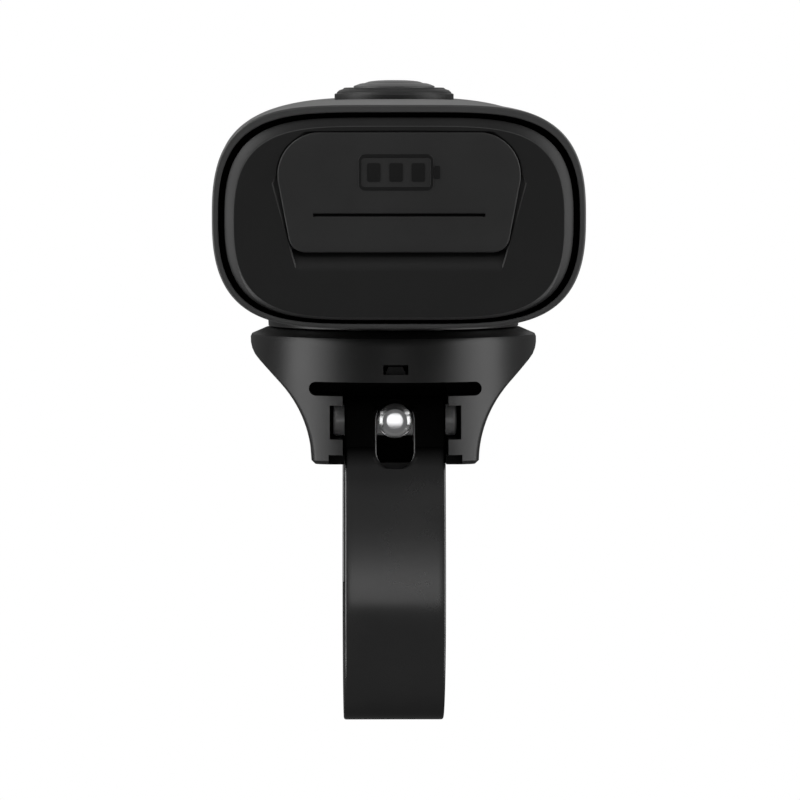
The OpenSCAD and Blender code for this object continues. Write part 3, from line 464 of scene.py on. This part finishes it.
# Foot: the turntable moulded with a neck and a hub, fixed under the housing by two screws from below.
# Its tabs lock under the bracket's lip; only the short neck shows between the bracket and the head.
foot_piece = welded("turntable", "foot", "head", 30.0)
finish(foot_piece, nylon)
dress("foot_screws", zinc)
dress("spreader_screws", zinc)

# Housing: the one-piece shell of the lamp head, injection moulded in black polycarbonate with a fine matt grain.
# A thin rim runs round its open back, and five upright cooling grooves are moulded in each side behind the lamp.
HEAD_MID_Z = 51.6
HEAD_HALF = np.array([24.0, 14.35])


def even_turn(count, power):
    """Parameter values that space points of the head's outline of a power evenly along its length."""
    t = np.linspace(0, 2 * np.pi, 16001)
    x = HEAD_HALF[0] * np.sign(np.cos(t)) * np.abs(np.cos(t)) ** (2 / power)
    z = HEAD_HALF[1] * np.sign(np.sin(t)) * np.abs(np.sin(t)) ** (2 / power)
    run = np.concatenate([[0], np.cumsum(np.hypot(np.diff(x), np.diff(z)))])
    return np.interp(np.linspace(0, run[-1], count, endpoint=False), run, t)


def head_rings(turn, y, inset, inset_z=None, shift=None, power=3.1, power_z=None):
    """Rings of the head: at each y a superellipse, taken in by inset at the sides and by inset_z above and below.

    x = (24 - inset) |cos t|^(2/power), z = mid + shift + (14.35 - inset_z) |sin t|^(2/power_z), with their signs.
    Both powers are 3.1; at the back rim they are 4.6 and 2.65, for full corners and rounded sides."""
    y, inset = np.asarray(y, float)[:, None], np.asarray(inset, float)[:, None]
    inset_z = inset if inset_z is None else np.asarray(inset_z, float)[:, None]
    shift = 0.0 if shift is None else np.asarray(shift, float)[:, None]
    bow_x, bow_z = (2 / np.broadcast_to(np.asarray(p, float), len(y))[:, None]
                    for p in (power, power if power_z is None else power_z))
    c, s = np.cos(turn)[None, :], np.sin(turn)[None, :]
    x = (HEAD_HALF[0] - inset) * np.sign(c) * np.abs(c) ** bow_x
    z = (HEAD_HALF[1] - inset_z) * np.sign(s) * np.abs(s) ** bow_z + HEAD_MID_Z + shift
    return np.stack([x, np.broadcast_to(y, x.shape), z], axis=2)


def tube(name, rings, crease, loop=True):
    """Skin over rings of equal count; with loop the last ring joins the first, so the tube has a closed wall."""
    rows, count = rings.shape[:2]
    quads = patch(rows, count, 0, True)
    if loop:
        i = np.arange(count)
        j = (i + 1) % count
        last = (rows - 1) * count
        quads = np.concatenate([quads, np.stack([last + i, last + j, j, i], axis=1)])
    return shell_mesh(name, rings.reshape(-1, 3), quads, crease)


def swell(y):
    """How far top and underside stand out: nothing at the rim, full from y -15.8 to 12.4, nothing at the front seam."""
    back = np.clip((y + 43.58) / 27.78, 0, 1)
    front = np.clip((y - 12.4) / 23.6, 0, 1)
    return 0.45 * (1 - (1 - back) ** 2) * (1 - front ** 2)


RIM_Y, SEAM_Y, GROOVE_FLOOR_X, GROOVE_HALF_HIGH = -44.0, 36.0, 23.3, 6.9
shell_turn = even_turn(480, 3.3)
quarter = np.radians(np.linspace(0, 90, 6))
groove_mid = 31.0 - 3.4 * np.arange(5)
groove_rows = (groove_mid[:, None] + np.array([-.95, -.74, -.70, -.6, -.3, 0, .3, .6, .70, .74, .95])[None, :]).ravel()
body_y = np.unique(np.round(np.concatenate([np.linspace(-43.58, SEAM_Y, 110), groove_rows]), 4))
edge_y = RIM_Y + 0.3 - 0.3 * np.sin(quarter)
lip_y = RIM_Y + 0.12 * (1 - np.cos(quarter))
wall_y = np.array([-39.0, -39.0, SEAM_Y])
shell_in = np.concatenate([0.3 * (1 - np.cos(quarter)), 0.68 + 0.12 * np.sin(quarter), [0.95, 1.6, 1.6]])
lip_down = np.concatenate([np.zeros(len(body_y) + len(quarter)), np.full(len(quarter) + 1, -0.18), [0, 0]])
RIM_POWERS = np.array([4.6, 2.65])
near_rim = np.clip((-23.0 - body_y[::-1]) / 20.58, 0, 1)
rim_share = np.concatenate([near_rim ** 2 * (3 - 2 * near_rim), np.ones(2 * len(quarter) + 1), [0, 0]])
shell_power = 3.1 + (RIM_POWERS - 3.1)[:, None] * rim_share
shell_rings = head_rings(
    shell_turn,
    np.concatenate([body_y[::-1], edge_y, lip_y, wall_y]),
    np.concatenate([0 * body_y, shell_in]), np.concatenate([-swell(body_y[::-1]), shell_in]), lip_down,
    *shell_power)
away = np.abs(shell_rings[..., 1:2] - groove_mid).min(axis=2)
in_groove = (away < 0.76) & (np.abs(shell_rings[..., 2] - HEAD_MID_Z) < GROOVE_HALF_HIGH)
in_groove &= (np.arange(len(shell_rings)) < len(body_y))[:, None]
depth_x = GROOVE_FLOOR_X + np.clip((away - 0.62) / 0.12, 0, 1) * 2.0
side_x = shell_rings[..., 0]
shell_rings[..., 0] = np.where(in_groove, np.sign(side_x) * np.minimum(np.abs(side_x), depth_x), side_x)
shell_black = moulded("grained_black_polycarbonate", (0.048,) * 3, (0.056,) * 3, 0.34, 4600.0, 5e-6, spread=0.03)
shell = object_from("lamp_shell", tube("lamp_shell", shell_rings, 32.0), "head")
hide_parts("housing")
finish(shell, shell_black)


def from_middle(x, z, half, centre_z):
    """Share of a rim outline that a point has reached: |x / half x|^4.6 + |(z - centre) / half z|^2.65, 1 on it."""
    return np.abs(x / half[0]) ** RIM_POWERS[0] + np.abs((z - centre_z) / half[1]) ** RIM_POWERS[1]


x, y, z = face_middles(shell)
inside = from_middle(x, z, HEAD_HALF, HEAD_MID_Z) < 0.90
# The faces inside the shell, away from the side grooves, take the painted recess shade.
paint_faces(shell, inside & (y > RIM_Y + 0.1) & (y < SEAM_Y - 0.1) & ((np.abs(x) < GROOVE_FLOOR_X - 0.4) | (y < -38.5)))

# Inside of the head: cells in their cradle, the two boards, the heat spreader, the reflector and the lamp chips.
# They are stamped, etched or moulded parts slid in from the back; the reflector's bowls are vacuum metallised.


def brushed(name, dark, light, rough, along):
    """Brushed or rolled metal: a noise drawn out along one axis in both tone and relief."""
    stuff = moulded(name, dark, light, rough, 900.0, 3e-6, metal=1.0)
    nodes, links = stuff.node_tree.nodes, stuff.node_tree.links
    stretch = nodes.new("ShaderNodeMapping")
    stretch.inputs["Scale"].default_value = along
    place = next(n for n in nodes if n.type == "TEX_COORD")
    links.new(place.outputs["Object"], stretch.inputs["Vector"])
    for noise in [n for n in nodes if n.type == "TEX_NOISE"]:
        links.new(stretch.outputs["Vector"], noise.inputs["Vector"])
    return stuff


aluminium = brushed("brushed_aluminium", (0.45, 0.45, 0.46), (0.60, 0.60, 0.61), 0.34, (1.0, 14.0, 14.0))
dress("heat_spreader", aluminium)
dress("led_board", aluminium)
dress("led_emitters", moulded("lamp_phosphor", (0.80, 0.66, 0.12), (0.90, 0.78, 0.22), 0.35, 3000.0, 4e-6, coat=0.6))
board_green = moulded("board_solder_mask", (0.006, 0.055, 0.022), (0.010, 0.085, 0.034), 0.32, 1500.0, 4e-6, coat=0.3)
dress("main_board", board_green)
dress("battery_cells", moulded("cell_shrink_wrap", (0.02, 0.11, 0.30), (0.03, 0.15, 0.38), 0.30, 700.0, 6e-6, coat=0.3))
dress("battery_cradle", nylon)
dress("tact_switch", moulded("switch_steel", (0.30, 0.30, 0.31), (0.42, 0.42, 0.43), 0.32, 2600.0, 3e-6, metal=1.0))
dress("usb_socket", brushed("socket_tin_plate", (0.48, 0.48, 0.49), (0.62, 0.62, 0.63), 0.26, (12.0, 1.0, 12.0)))
dress("rear_seal", rubber)
dress("lens_seal", rubber)
chrome = moulded("metallised_bowl", (0.86, 0.86, 0.87), (0.93, 0.93, 0.94), 0.09, 700.0, 2e-6, metal=1.0, spread=0.03)
bowls = welded("twin_bowls", "reflector", "head", 32.0)
finish(bowls, chrome)

# Back cap: moulded plate snapped into the rim behind a narrow groove, with a bevel round its flat face.
# A pocket takes the rubber flap; below the flap's free edge a ramp rises to the face for a fingertip.


def by_angle(outline, centre, angle):
    """Points where rays from the centre at the given angles meet a closed outline that is seen whole from there."""
    rel = outline - centre
    a = np.arctan2(rel[:, 1], rel[:, 0])
    order = np.argsort(a)
    r = np.interp(angle, a[order], np.hypot(rel[:, 0], rel[:, 1])[order], period=2 * np.pi)
    return centre + r[:, None] * np.stack([np.cos(angle), np.sin(angle)], axis=1)


def dense(corners, count=6000):
    """A closed outline through the corners, with points spread evenly along it."""
    closed = np.concatenate([corners, corners[:1]])
    run = np.concatenate([[0], np.cumsum(np.hypot(*np.diff(closed, axis=0).T))])
    s = np.linspace(0, run[-1], count, endpoint=False)
    return np.stack([np.interp(s, run, closed[:, 0]), np.interp(s, run, closed[:, 1])], axis=1)


def corner(cx, cz, r, start, stop, count=24):
    """Points of an arc in x and z, with its angles in degrees."""
    a = np.radians(np.linspace(start, stop, count))
    return np.stack([cx + r * np.cos(a), cz + r * np.sin(a)], axis=1)


def stadium(half_long, half_high, centre_z):
    """Outline of a slot with round ends, lying along x."""
    return np.concatenate([corner(half_long - half_high, centre_z, half_high, -90, 90),
                           corner(-half_long + half_high, centre_z, half_high, 90, 270)])


PORT_Z, FACE_Y = 57.35, -44.8
cap_turn = even_turn(960, 3.4)
eye_of_cap = np.array([0.0, 55.5])
pocket_line = dense(np.concatenate([
    corner(10.1, 56.95, 5.54, 90, 0), [[16.15, 55.9]], corner(12.75, 45.0, 0.35, -16, -90, 8),
    corner(-12.75, 45.0, 0.35, 270, 196, 8), [[-16.15, 55.9]], corner(-10.1, 56.95, 5.54, 180, 90)]))
port_line = dense(stadium(4.75, 2.4, PORT_Z))


def flap_line(take_in):
    """Outline of the flap taken in by an amount: two wide corners above, leaning sides, two small corners below."""
    lean = 10.3
    return dense(np.concatenate([
        corner(10.1, 56.95, 5.5 - take_in, 90, -lean), corner(12.0, 49.25, 2.2 - take_in, -lean, -90),
        corner(-12.0, 49.25, 2.2 - take_in, 270, 180 + lean),
        corner(-10.1, 56.95, 5.5 - take_in, 180 + lean, 90)]), 1440)


def cap_line(part):
    """Outline of the cap at a part of its bevel, 0 at the groove, 1 at the face: insets in x and z, and shift in z."""
    return 1.6 + 1.3 * part, 1.37 + 0.77 * part, -0.27 - 0.42 * part


GROOVE_Y = -43.8
foot_side, foot_top, foot_shift = cap_line(0.0)
skirt = head_rings(cap_turn, [-39.6, -40.6, -40.6, -42.0, GROOVE_Y + 0.1], [1.0, 1.0] + 3 * [foot_side],
                   [1.0, 1.0] + 3 * [foot_top], [0, 0] + 3 * [foot_shift], *RIM_POWERS)
slope = np.radians(np.concatenate([[86, 70], np.linspace(46, 38, 14), [31, 24, 17, 10, 4, 0]]))
bevel_part = np.concatenate([[0.0, 0.006], np.linspace(0.02, 0.85, 14), [0.88, 0.91, 0.935, 0.96, 0.98, 1.0]])
rise = np.concatenate([[0], np.cumsum(np.diff(bevel_part) * np.tan((slope[1:] + slope[:-1]) / 2))])
bevel_y = GROOVE_Y + (FACE_Y - GROOVE_Y) * rise / rise[-1]
bevel = head_rings(cap_turn, bevel_y, *cap_line(bevel_part), *RIM_POWERS)
lip = bevel[-1][:, [0, 2]]
angle = np.arctan2(lip[:, 1] - eye_of_cap[1], lip[:, 0] - eye_of_cap[0])
pocket = by_angle(pocket_line, eye_of_cap, angle)
port = by_angle(port_line, eye_of_cap, angle)
out = (pocket - eye_of_cap) / np.linalg.norm(pocket - eye_of_cap, axis=1)[:, None]
under_edge = [by_angle(flap_line(take_in), eye_of_cap, angle) for take_in in (0.0, 0.5, 1.0)]


RAMP_LOW, RAMP_HIGH, POCKET_DEPTH = 44.65, 47.4, 1.35


def pocket_floor(z):
    """Level of the pocket's floor at a height: a ramp that leaves the face gently and goes down under the flap."""
    part = np.clip((z - RAMP_LOW) / (RAMP_HIGH - RAMP_LOW), 0, 1)
    return FACE_Y + POCKET_DEPTH * part * (0.3 + 0.7 * part)


def seat(flat, depth):
    """Level of the pocket at points in x and z: a depth under the face round the flap, the ramp below its free edge."""
    up = np.clip((flat[:, 1] - RAMP_HIGH) / 3.1, 0, 1)
    up = up * up * (3 - 2 * up)
    return (FACE_Y + depth) * up + pocket_floor(flat[:, 1]) * (1 - up)


def at_y(flat, y):
    """Lifts points in x and z to the given y, one value or one for each point."""
    return np.stack([flat[:, 0], np.broadcast_to(y, flat[:, 0].shape), flat[:, 1]], axis=1)


face_rings = [at_y(lip + (pocket + 0.50 * out - lip) * f, FACE_Y) for f in (0.03, 0.35, 0.7, 1.0)]
wall = np.maximum(seat(pocket, 0.15), FACE_Y + 0.004)
HINGE_SIDE_Z = 60.0
swing = np.exp(-((np.abs(pocket[:, 0]) - 11.7) / 0.8) ** 2) * (pocket[:, 1] > HINGE_SIDE_Z)
hinge_room = 0.3 * np.clip((pocket[:, 1] - 61.2) / 0.8, 0, 1)
wall += 0.2 * swing
brim = [at_y(pocket + (0.19 + 0.25 * swing)[:, None] * out, np.minimum(FACE_Y + 0.015, (FACE_Y + wall) / 2)),
        at_y(pocket + 0.02 * out, np.minimum(FACE_Y + 0.14 + 0.2 * swing, wall)), at_y(pocket, wall)]
ledge = []
for f in (0.12, 0.25, 0.38, 0.5, 0.65, 0.8, 1.0):
    p = pocket + (under_edge[0] - pocket) * f
    level = seat(p, 0.15 + 0.08 * f) + f * hinge_room
    ledge.append(at_y(p, np.where(p[:, 1] > HINGE_SIDE_Z, np.maximum(level, wall), level)))
ledge += [at_y(under_edge[1], seat(under_edge[1], 0.86)), at_y(under_edge[2], seat(under_edge[2], POCKET_DEPTH))]
floor_rings = ledge + [at_y(p, pocket_floor(p[:, 1]))
                       for p in (under_edge[2] + (port - under_edge[2]) * f for f in (0.3, 0.6, 0.97, 1.0))]
port_rings = [at_y(port, -42.6), at_y(port, -39.6)]
cap_rings = np.concatenate([skirt, bevel, np.stack(face_rings + brim + floor_rings + port_rings)])
cap_black = moulded("satin_cap_plastic", (0.0050,) * 3, (0.0070,) * 3, 0.48, 5200.0, 5e-6)
cap_black.node_tree.nodes["Principled BSDF"].inputs["Specular IOR Level"].default_value = 0.43
cap = object_from("back_plate", tube("back_plate", cap_rings, 26.0), "head")
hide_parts("rear_cap")
finish(cap, cap_black)
x, y, z = face_middles(cap)
# The faces behind the groove, round the cap's skirt, take the painted recess shade.
paint_faces(cap, (y > GROOVE_Y + 0.08) & (from_middle(x, z, HEAD_HALF, HEAD_MID_Z) > 0.62))
edge_side, edge_top, edge_shift = cap_line(0.88)
from_edge = from_middle(x, z, HEAD_HALF - np.array([edge_side, edge_top]), HEAD_MID_Z + edge_shift)
# A band round the bevel's inner edge, wider at the bottom, is painted a lighter grey: a painted highlight line along
# the edge.
painted_edge_highlight = moulded("cap_edge_painted_highlight", (0.030,) * 3, (0.042,) * 3, 0.40, 5200.0, 5e-6)
on_edge = (from_edge > 0.93) & (from_edge < 1.0 + 0.07 * np.clip((45.6 - z) / 4, 0, 1))
paint_faces(cap, on_edge & (y < GROOVE_Y) & (y > FACE_Y + 0.002), painted_edge_highlight)

# Port flap: soft moulded rubber, swinging on its thin upper edge, with a plug behind that seals the socket.
# One fine line is moulded across its face above the pull edge.
HINGE_Y, HINGE_Z, HINGE_R = -44.65, 62.1, 0.35
FLAP_FRONT_Y, FLAP_BACK_Y, FLAP_EASE, PLUG_END_Y = -44.94, -43.6, 0.2, -42.0
LINE_Z, LINE_HALF, LINE_HALF_HIGH = 51.85, 11.0, 0.2
rim_bend = np.radians(np.linspace(0, 90, 6))
front_in = FLAP_EASE * (1 - np.cos(rim_bend))[::-1]
front_y = FLAP_FRONT_Y + FLAP_EASE * (1 - np.sin(rim_bend))[::-1]
edge_in = np.concatenate([front_in, [0.0, 0.03, 0.5, 0.85, 1.0]])
edge_at = np.concatenate([front_y, [-44.72, -44.68, -44.05, -43.64, FLAP_BACK_Y]])
edge_rings = np.stack([at_y(flap_line(i), y) for i, y in zip(edge_in, edge_at)])
bar = np.sqrt(np.clip(HINGE_R ** 2 - (edge_rings[..., 2] - HINGE_Z) ** 2, 0, None))
above = edge_rings[..., 2] > HINGE_Z
edge_rings[..., 1] = np.where(above, np.clip(edge_rings[..., 1], HINGE_Y - bar, HINGE_Y + bar), edge_rings[..., 1])
front = edge_rings[0][:, [0, 2]]
upper = np.where(front[:, 1] > LINE_Z, 1.0, -1.0)
line_x = np.clip(front[:, 0] * LINE_HALF / 14.1, -LINE_HALF, LINE_HALF)
line_half = np.stack([line_x, LINE_Z + LINE_HALF_HIGH * upper], axis=1)
line_rings = [at_y(line_half + (front - line_half) * f, FLAP_FRONT_Y) for f in (0.75, 0.5, 0.25, 0.03, 0.012)]
line_rings += [at_y(line_half, -44.90), at_y(line_half - np.stack([0 * upper, 0.1 * upper], axis=1), -44.62),
               at_y(np.stack([line_x, np.full(len(upper), LINE_Z)], axis=1), -44.60)]
back = edge_rings[-1][:, [0, 2]]
plug_eye = np.array([0.0, PORT_Z])
plug_angle = np.arctan2(back[:, 1] - PORT_Z, back[:, 0])
plug = by_angle(dense(stadium(4.45, 1.65, PORT_Z)), plug_eye, plug_angle)
plug_rings = [at_y(back + (plug - back) * f, FLAP_BACK_Y) for f in (0.3, 0.6, 0.98)]
plug_rings += [at_y(plug_eye + (plug - plug_eye) * f, y)
               for f, y in ((1.0, -43.5), (1.0, -42.3), (0.9, -42.05), (0.75, PLUG_END_Y), (0.0, PLUG_END_Y))]
flap_rings = np.concatenate([np.stack(line_rings[::-1]), edge_rings, np.stack(plug_rings)])
flap_rubber = moulded("port_flap_rubber", (0.016,) * 3, (0.021,) * 3, 0.52, 5200.0, 6e-6)
flap = object_from("port_cover", tube("port_cover", flap_rings, 30.0, loop=False), "flap")
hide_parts("port_flap")
finish(flap, flap_rubber)
x, y, z = face_middles(flap)
in_line = (np.abs(z - LINE_Z) < LINE_HALF_HIGH + 0.02) & (np.abs(x) < LINE_HALF + 0.1)
# The faces inside the moulded line take the painted recess shade.
paint_faces(flap, in_line & (y > FLAP_FRONT_Y + 0.005) & (y < -44.5))

# Charging sign: a plain battery outline with three bars and a small pole, moulded as fine ribs on the flap.
# It stands where such flaps carry a sign, and it is part of the same rubber, polished where the tool was cut.


def frame_bar(points, half, y_top, y_foot):
    """A closed rib along a closed outline: its top is 2 half wide at y_top, and its feet are at y_foot."""
    ahead = np.roll(points, -1, axis=0) - np.roll(points, 1, axis=0)
    side = np.stack([ahead[:, 1], -ahead[:, 0]], axis=1) / np.linalg.norm(ahead, axis=1)[:, None]
    rows = np.stack([at_y(points + side * w, y) for w, y in ((half, y_foot), (half * 0.7, y_top),
                                                            (-half * 0.7, y_top), (-half, y_foot))])
    return rows.transpose(1, 0, 2)


def round_box(cx, cz, half_x, half_z, r):
    """Outline of a rounded rectangle with evenly spread points."""
    return dense(np.concatenate([corner(cx + half_x - r, cz + half_z - r, r, 90, 0, 8),
                                 corner(cx + half_x - r, cz - half_z + r, r, 0, -90, 8),
                                 corner(cx - half_x + r, cz - half_z + r, r, 270, 180, 8),
                                 corner(cx - half_x + r, cz + half_z - r, r, 180, 90, 8)]), SIGN_STEPS)


SIGN_Z, SIGN_TOP, SIGN_FOOT, SIGN_STEPS = 57.3, -45.0, -44.92, 160
outline_rib = frame_bar(round_box(-0.4, SIGN_Z, 4.6, 2.1, 0.6), 0.24, SIGN_TOP, SIGN_FOOT)
pads = [round_box(pad_x, SIGN_Z, 0.85, 1.2, 0.25) for pad_x in (-3.25, -0.4, 2.45)]
pads.append(round_box(4.85, SIGN_Z, 0.38, 0.85, 0.2))
pad_rings = [np.stack([at_y(p, SIGN_FOOT), at_y(p, SIGN_TOP + 0.01),
                       at_y(p.mean(axis=0) + (p - p.mean(axis=0)) * 0.93, SIGN_TOP),
                       at_y(np.repeat(p.mean(axis=0)[None, :], len(p), axis=0), SIGN_TOP)]) for p in pads]
rib_quads = patch(SIGN_STEPS, 4, 0, True)
side, after, last = np.arange(4), (np.arange(4) + 1) % 4, (SIGN_STEPS - 1) * 4
rib_close = np.stack([side + last, after + last, after, side], axis=1)
sign_points = np.concatenate([outline_rib.reshape(-1, 3)] + [p.reshape(-1, 3) for p in pad_rings])
sign_quads = np.concatenate([rib_quads, rib_close]
                            + [patch(4, SIGN_STEPS, 4 * SIGN_STEPS * (n + 1), True) for n in range(len(pads))])
sign_black = moulded("polished_flap_rubber", (0.0040,) * 3, (0.0055,) * 3, 0.46, 5200.0, 3e-6)
sign_black.node_tree.nodes["Principled BSDF"].inputs["Specular IOR Level"].default_value = 0.3
sign = object_from("charge_sign", shell_mesh("charge_sign", sign_points, sign_quads, 30.0), "flap")
finish(sign, sign_black)

# Button boot and power button: a stepped rubber surround pressed into the top, and a domed cap that slides in it.
# Both are moulded in black; the cap's tone is painted a lighter grey than the surround's, a painted highlight for the
# light on its top, and the cap has a shallow ring near its edge for the thumb.
TOP_Z, BUTTON_Y = 66.15, -6.0


def soft_profile(corners, ease, count=5):
    """Rounds the corners of an open profile: each inner corner becomes a curve between points at ease from it."""
    before = corners[1:-1] - corners[:-2]
    after = corners[2:] - corners[1:-1]
    near = np.linalg.norm(before, axis=1)[:, None]
    far = np.linalg.norm(after, axis=1)[:, None]
    a = corners[1:-1] - before / near * np.minimum(ease, near * 0.45)
    b = corners[1:-1] + after / far * np.minimum(ease, far * 0.45)
    s = np.linspace(0, 1, count)[None, :, None]
    curve = (1 - s) ** 2 * a[:, None] + 2 * s * (1 - s) * corners[1:-1][:, None] + s ** 2 * b[:, None]
    return np.concatenate([corners[:1], curve.reshape(-1, 2), corners[-1:]])


def spun(name, profile, steps, crease, body, node, closed):
    """A round piece on the top of the head: the profile of (radius, height) spun about the button's upright axis."""
    spin = np.linspace(0, 2 * np.pi, steps, endpoint=False)
    r, h = profile[:, :1], profile[:, 1:2]
    rings = np.stack([r * np.cos(spin), r * np.sin(spin) + BUTTON_Y, np.repeat(h, steps, axis=1) + TOP_Z], axis=2)
    piece = object_from(name, tube(name, rings, crease, loop=closed), body)
    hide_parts(node)
    return piece


boot_profile = soft_profile(np.array([[5.55, 0.1], [7.95, 0.1], [7.95, 0.82], [7.88, 0.90], [7.68, 0.93], [7.62, 1.08],
                                      [7.32, 1.36], [6.88, 1.50], [6.62, 1.70], [5.55, 1.70], [5.55, 0.3]]), 0.06)
boot = spun("button_surround", boot_profile, 160, 40.0, "head", "button_boot", True)
boot_rubber = moulded("surround_rubber", (0.009,) * 3, (0.013,) * 3, 0.50, 4800.0, 6e-6)
finish(boot, boot_rubber)
dome_r = 5.4 * np.sin(np.radians(np.linspace(90, 0, 40)))
dome_h = 1.9 + 0.8 * (1 - (dome_r / 5.4) ** 3) - 0.08 * np.exp(-((dome_r - 3.9) / 0.35) ** 2)
button_profile = np.concatenate([[[0.0, 0.95], [5.2, 0.95], [5.4, 1.1]], np.stack([dome_r, dome_h], axis=1)])
button = spun("thumb_button", button_profile, 160, 40.0, "button", "power_button", False)
# The cap's lighter grey tone is a painted highlight for the light falling on its top.
finish(button, moulded("button_rubber_painted_highlight", (0.085,) * 3, (0.098,) * 3, 0.48, 4800.0, 6e-6))

# Front bezel and lens: a moulded ring snapped over the front of the housing holds a clear polycarbonate window.
# The window sits in a soft frame behind the ring's lip, in front of the two bowls.
bezel_out = np.array([[SEAM_Y, 0.0], [36.35, 0.35], [36.7, 0.0], [40.0, 0.0], [46.0, 0.0], [49.3, 0.0], [50.0, 0.7]])
bezel_in = np.array([[50.0, 2.2], [49.6, 2.9], [49.2, 3.0], [49.2, 1.6], [SEAM_Y, 1.6]])
bezel_line = np.concatenate([soft_profile(bezel_out, 0.25), soft_profile(bezel_in, 0.12)])
bezel_rings = head_rings(shell_turn, bezel_line[:, 0], bezel_line[:, 1])
bezel = object_from("front_ring", tube("front_ring", bezel_rings, 35.0), "head")
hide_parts("front_bezel")
finish(bezel, shell_black)
pane_y = [46.8, 46.8, 46.95, 49.0, 49.14, 49.14]
pane_edge = [1.95, 1.77, 1.77, 1.9]
pane_in_x, pane_in_z = ([half] + pane_edge + [half] for half in HEAD_HALF)
pane_rings = head_rings(shell_turn, pane_y, pane_in_x, pane_in_z)
window = object_from("lamp_window", tube("lamp_window", pane_rings, 40.0, loop=False), "head")
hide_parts("front_lens")
clear = bpy.data.materials.new("clear_polycarbonate")
clear.use_nodes = True
nodes, links = clear.node_tree.nodes, clear.node_tree.links
glass = nodes["Principled BSDF"]
haze = nodes.new("ShaderNodeTexNoise")
haze.inputs["Scale"].default_value = 90.0
spot = nodes.new("ShaderNodeTexCoord")
links.new(spot.outputs["Object"], haze.inputs["Vector"])
polish = nodes.new("ShaderNodeMapRange")
polish.inputs["To Min"].default_value = 0.02
polish.inputs["To Max"].default_value = 0.07
links.new(haze.outputs["Fac"], polish.inputs["Value"])
links.new(polish.outputs["Result"], glass.inputs["Roughness"])
glass.inputs["Base Color"].default_value = (0.93, 0.95, 0.97, 1)
glass.inputs["Transmission Weight"].default_value = 1.0
glass.inputs["IOR"].default_value = 1.58
finish(window, clear)

# Studio: a white surround, soft boxes and strips at both sides, above and below, and a small lamp behind the camera.
# The surround is bright by itself and casts no mirror image, so that the black plastic stays black.


def white_ball(name, radius, rows, steps):
    """A ball round the scene that is white by itself, and that the camera alone sees, bare or through the window."""
    stuff = bpy.data.materials.new("white_" + name)
    stuff.use_nodes = True
    shader = stuff.node_tree.nodes["Principled BSDF"]
    shader.inputs["Base Color"].default_value = (0, 0, 0, 1)
    shader.inputs["Roughness"].default_value = 0.9
    shader.inputs["Specular IOR Level"].default_value = 0.0
    shader.inputs["Emission Color"].default_value = (1, 1, 1, 1)
    shader.inputs["Emission Strength"].default_value = 1.0
    u, v = np.meshgrid(np.linspace(0, 2 * np.pi, steps, endpoint=False), np.linspace(-np.pi / 2, np.pi / 2, rows))
    points = radius * np.stack([np.cos(v) * np.cos(u), np.cos(v) * np.sin(u), np.sin(v)], axis=2)
    mesh = bpy.data.meshes.new(name)
    mesh.from_pydata(points.reshape(-1, 3).tolist(), [], patch(rows, steps, 0, True)[:, ::-1].tolist())
    mesh.materials.append(stuff)
    ball = bpy.data.objects.new(name, mesh)
    bpy.context.scene.collection.objects.link(ball)
    ball.visible_glossy = False
    ball.visible_diffuse = False
    ball.visible_shadow = False


white_ball("surround", 3.9, 25, 48)


def soft_box(name, place, aim, wide, high, power, shape="RECTANGLE"):
    """A flat lamp at a place, turned to its aim."""
    lamp = bpy.data.lights.new(name, "AREA")
    lamp.shape = shape
    lamp.size, lamp.size_y, lamp.energy = wide, high, power
    thing = bpy.data.objects.new(name, lamp)
    thing.location = place
    thing.rotation_euler = (Vector(aim) - Vector(place)).to_track_quat("-Z", "Y").to_euler()
    bpy.context.scene.collection.objects.link(thing)


middle = (0.0, 0.0, 0.035)
soft_box("left_box", (-0.62, -0.135, 0.08), middle, 0.36, 0.7, 2.3)
soft_box("right_box", (0.62, -0.135, 0.08), middle, 0.36, 0.7, 2.15)
soft_box("left_strip", (-0.60, -0.42, 0.06), middle, 0.11, 0.6, 0.32, "ELLIPSE")
soft_box("right_strip", (0.60, -0.42, 0.06), middle, 0.13, 1.0, 0.7, "ELLIPSE")
soft_box("upper_left_box", (-0.54, -0.10, 0.56), middle, 0.34, 0.3, 2.4)
soft_box("upper_right_box", (0.54, -0.10, 0.56), middle, 0.34, 0.3, 1.4)
soft_box("brow_strip", (0.0, -0.62, 0.50), middle, 0.8, 0.05, 0.4)
soft_box("lower_left_box", (-0.52, -0.10, -0.44), middle, 0.3, 0.3, 0.7)
soft_box("lower_right_box", (0.52, -0.10, -0.44), middle, 0.3, 0.3, 0.5)
soft_box("top_box", (0.0, 0.10, 0.75), middle, 0.5, 0.4, 0.25)
soft_box("back_box", (0.0, 0.80, 0.42), middle, 0.9, 0.3, 0.6)
soft_box("front_lamp", (0.0, -1.30, -0.02), middle, 0.3, 0.18, 0.24)
sky = bpy.data.worlds.new("studio_air")
sky.use_nodes = True
sky.node_tree.nodes["Background"].inputs["Color"].default_value = (1, 1, 1, 1)
sky.node_tree.nodes["Background"].inputs["Strength"].default_value = 0.14
bpy.context.scene.world = sky
bpy.context.scene.view_settings.view_transform = "Standard"

# Camera: a long lens behind the lamp, a little above it and looking slightly down, as in the photograph.
lens = bpy.data.cameras.new("camera")
lens.lens, lens.sensor_width = 316.0, 36.0
lens.clip_start, lens.clip_end = 0.01, 20.0
camera = bpy.data.objects.new("camera", lens)
camera.location = (-0.0157, -0.944, 0.0751)
camera.rotation_euler = (np.radians(90 - 2.99), 0, np.radians(-1.007))
bpy.context.scene.collection.objects.link(camera)
bpy.context.scene.camera = camera
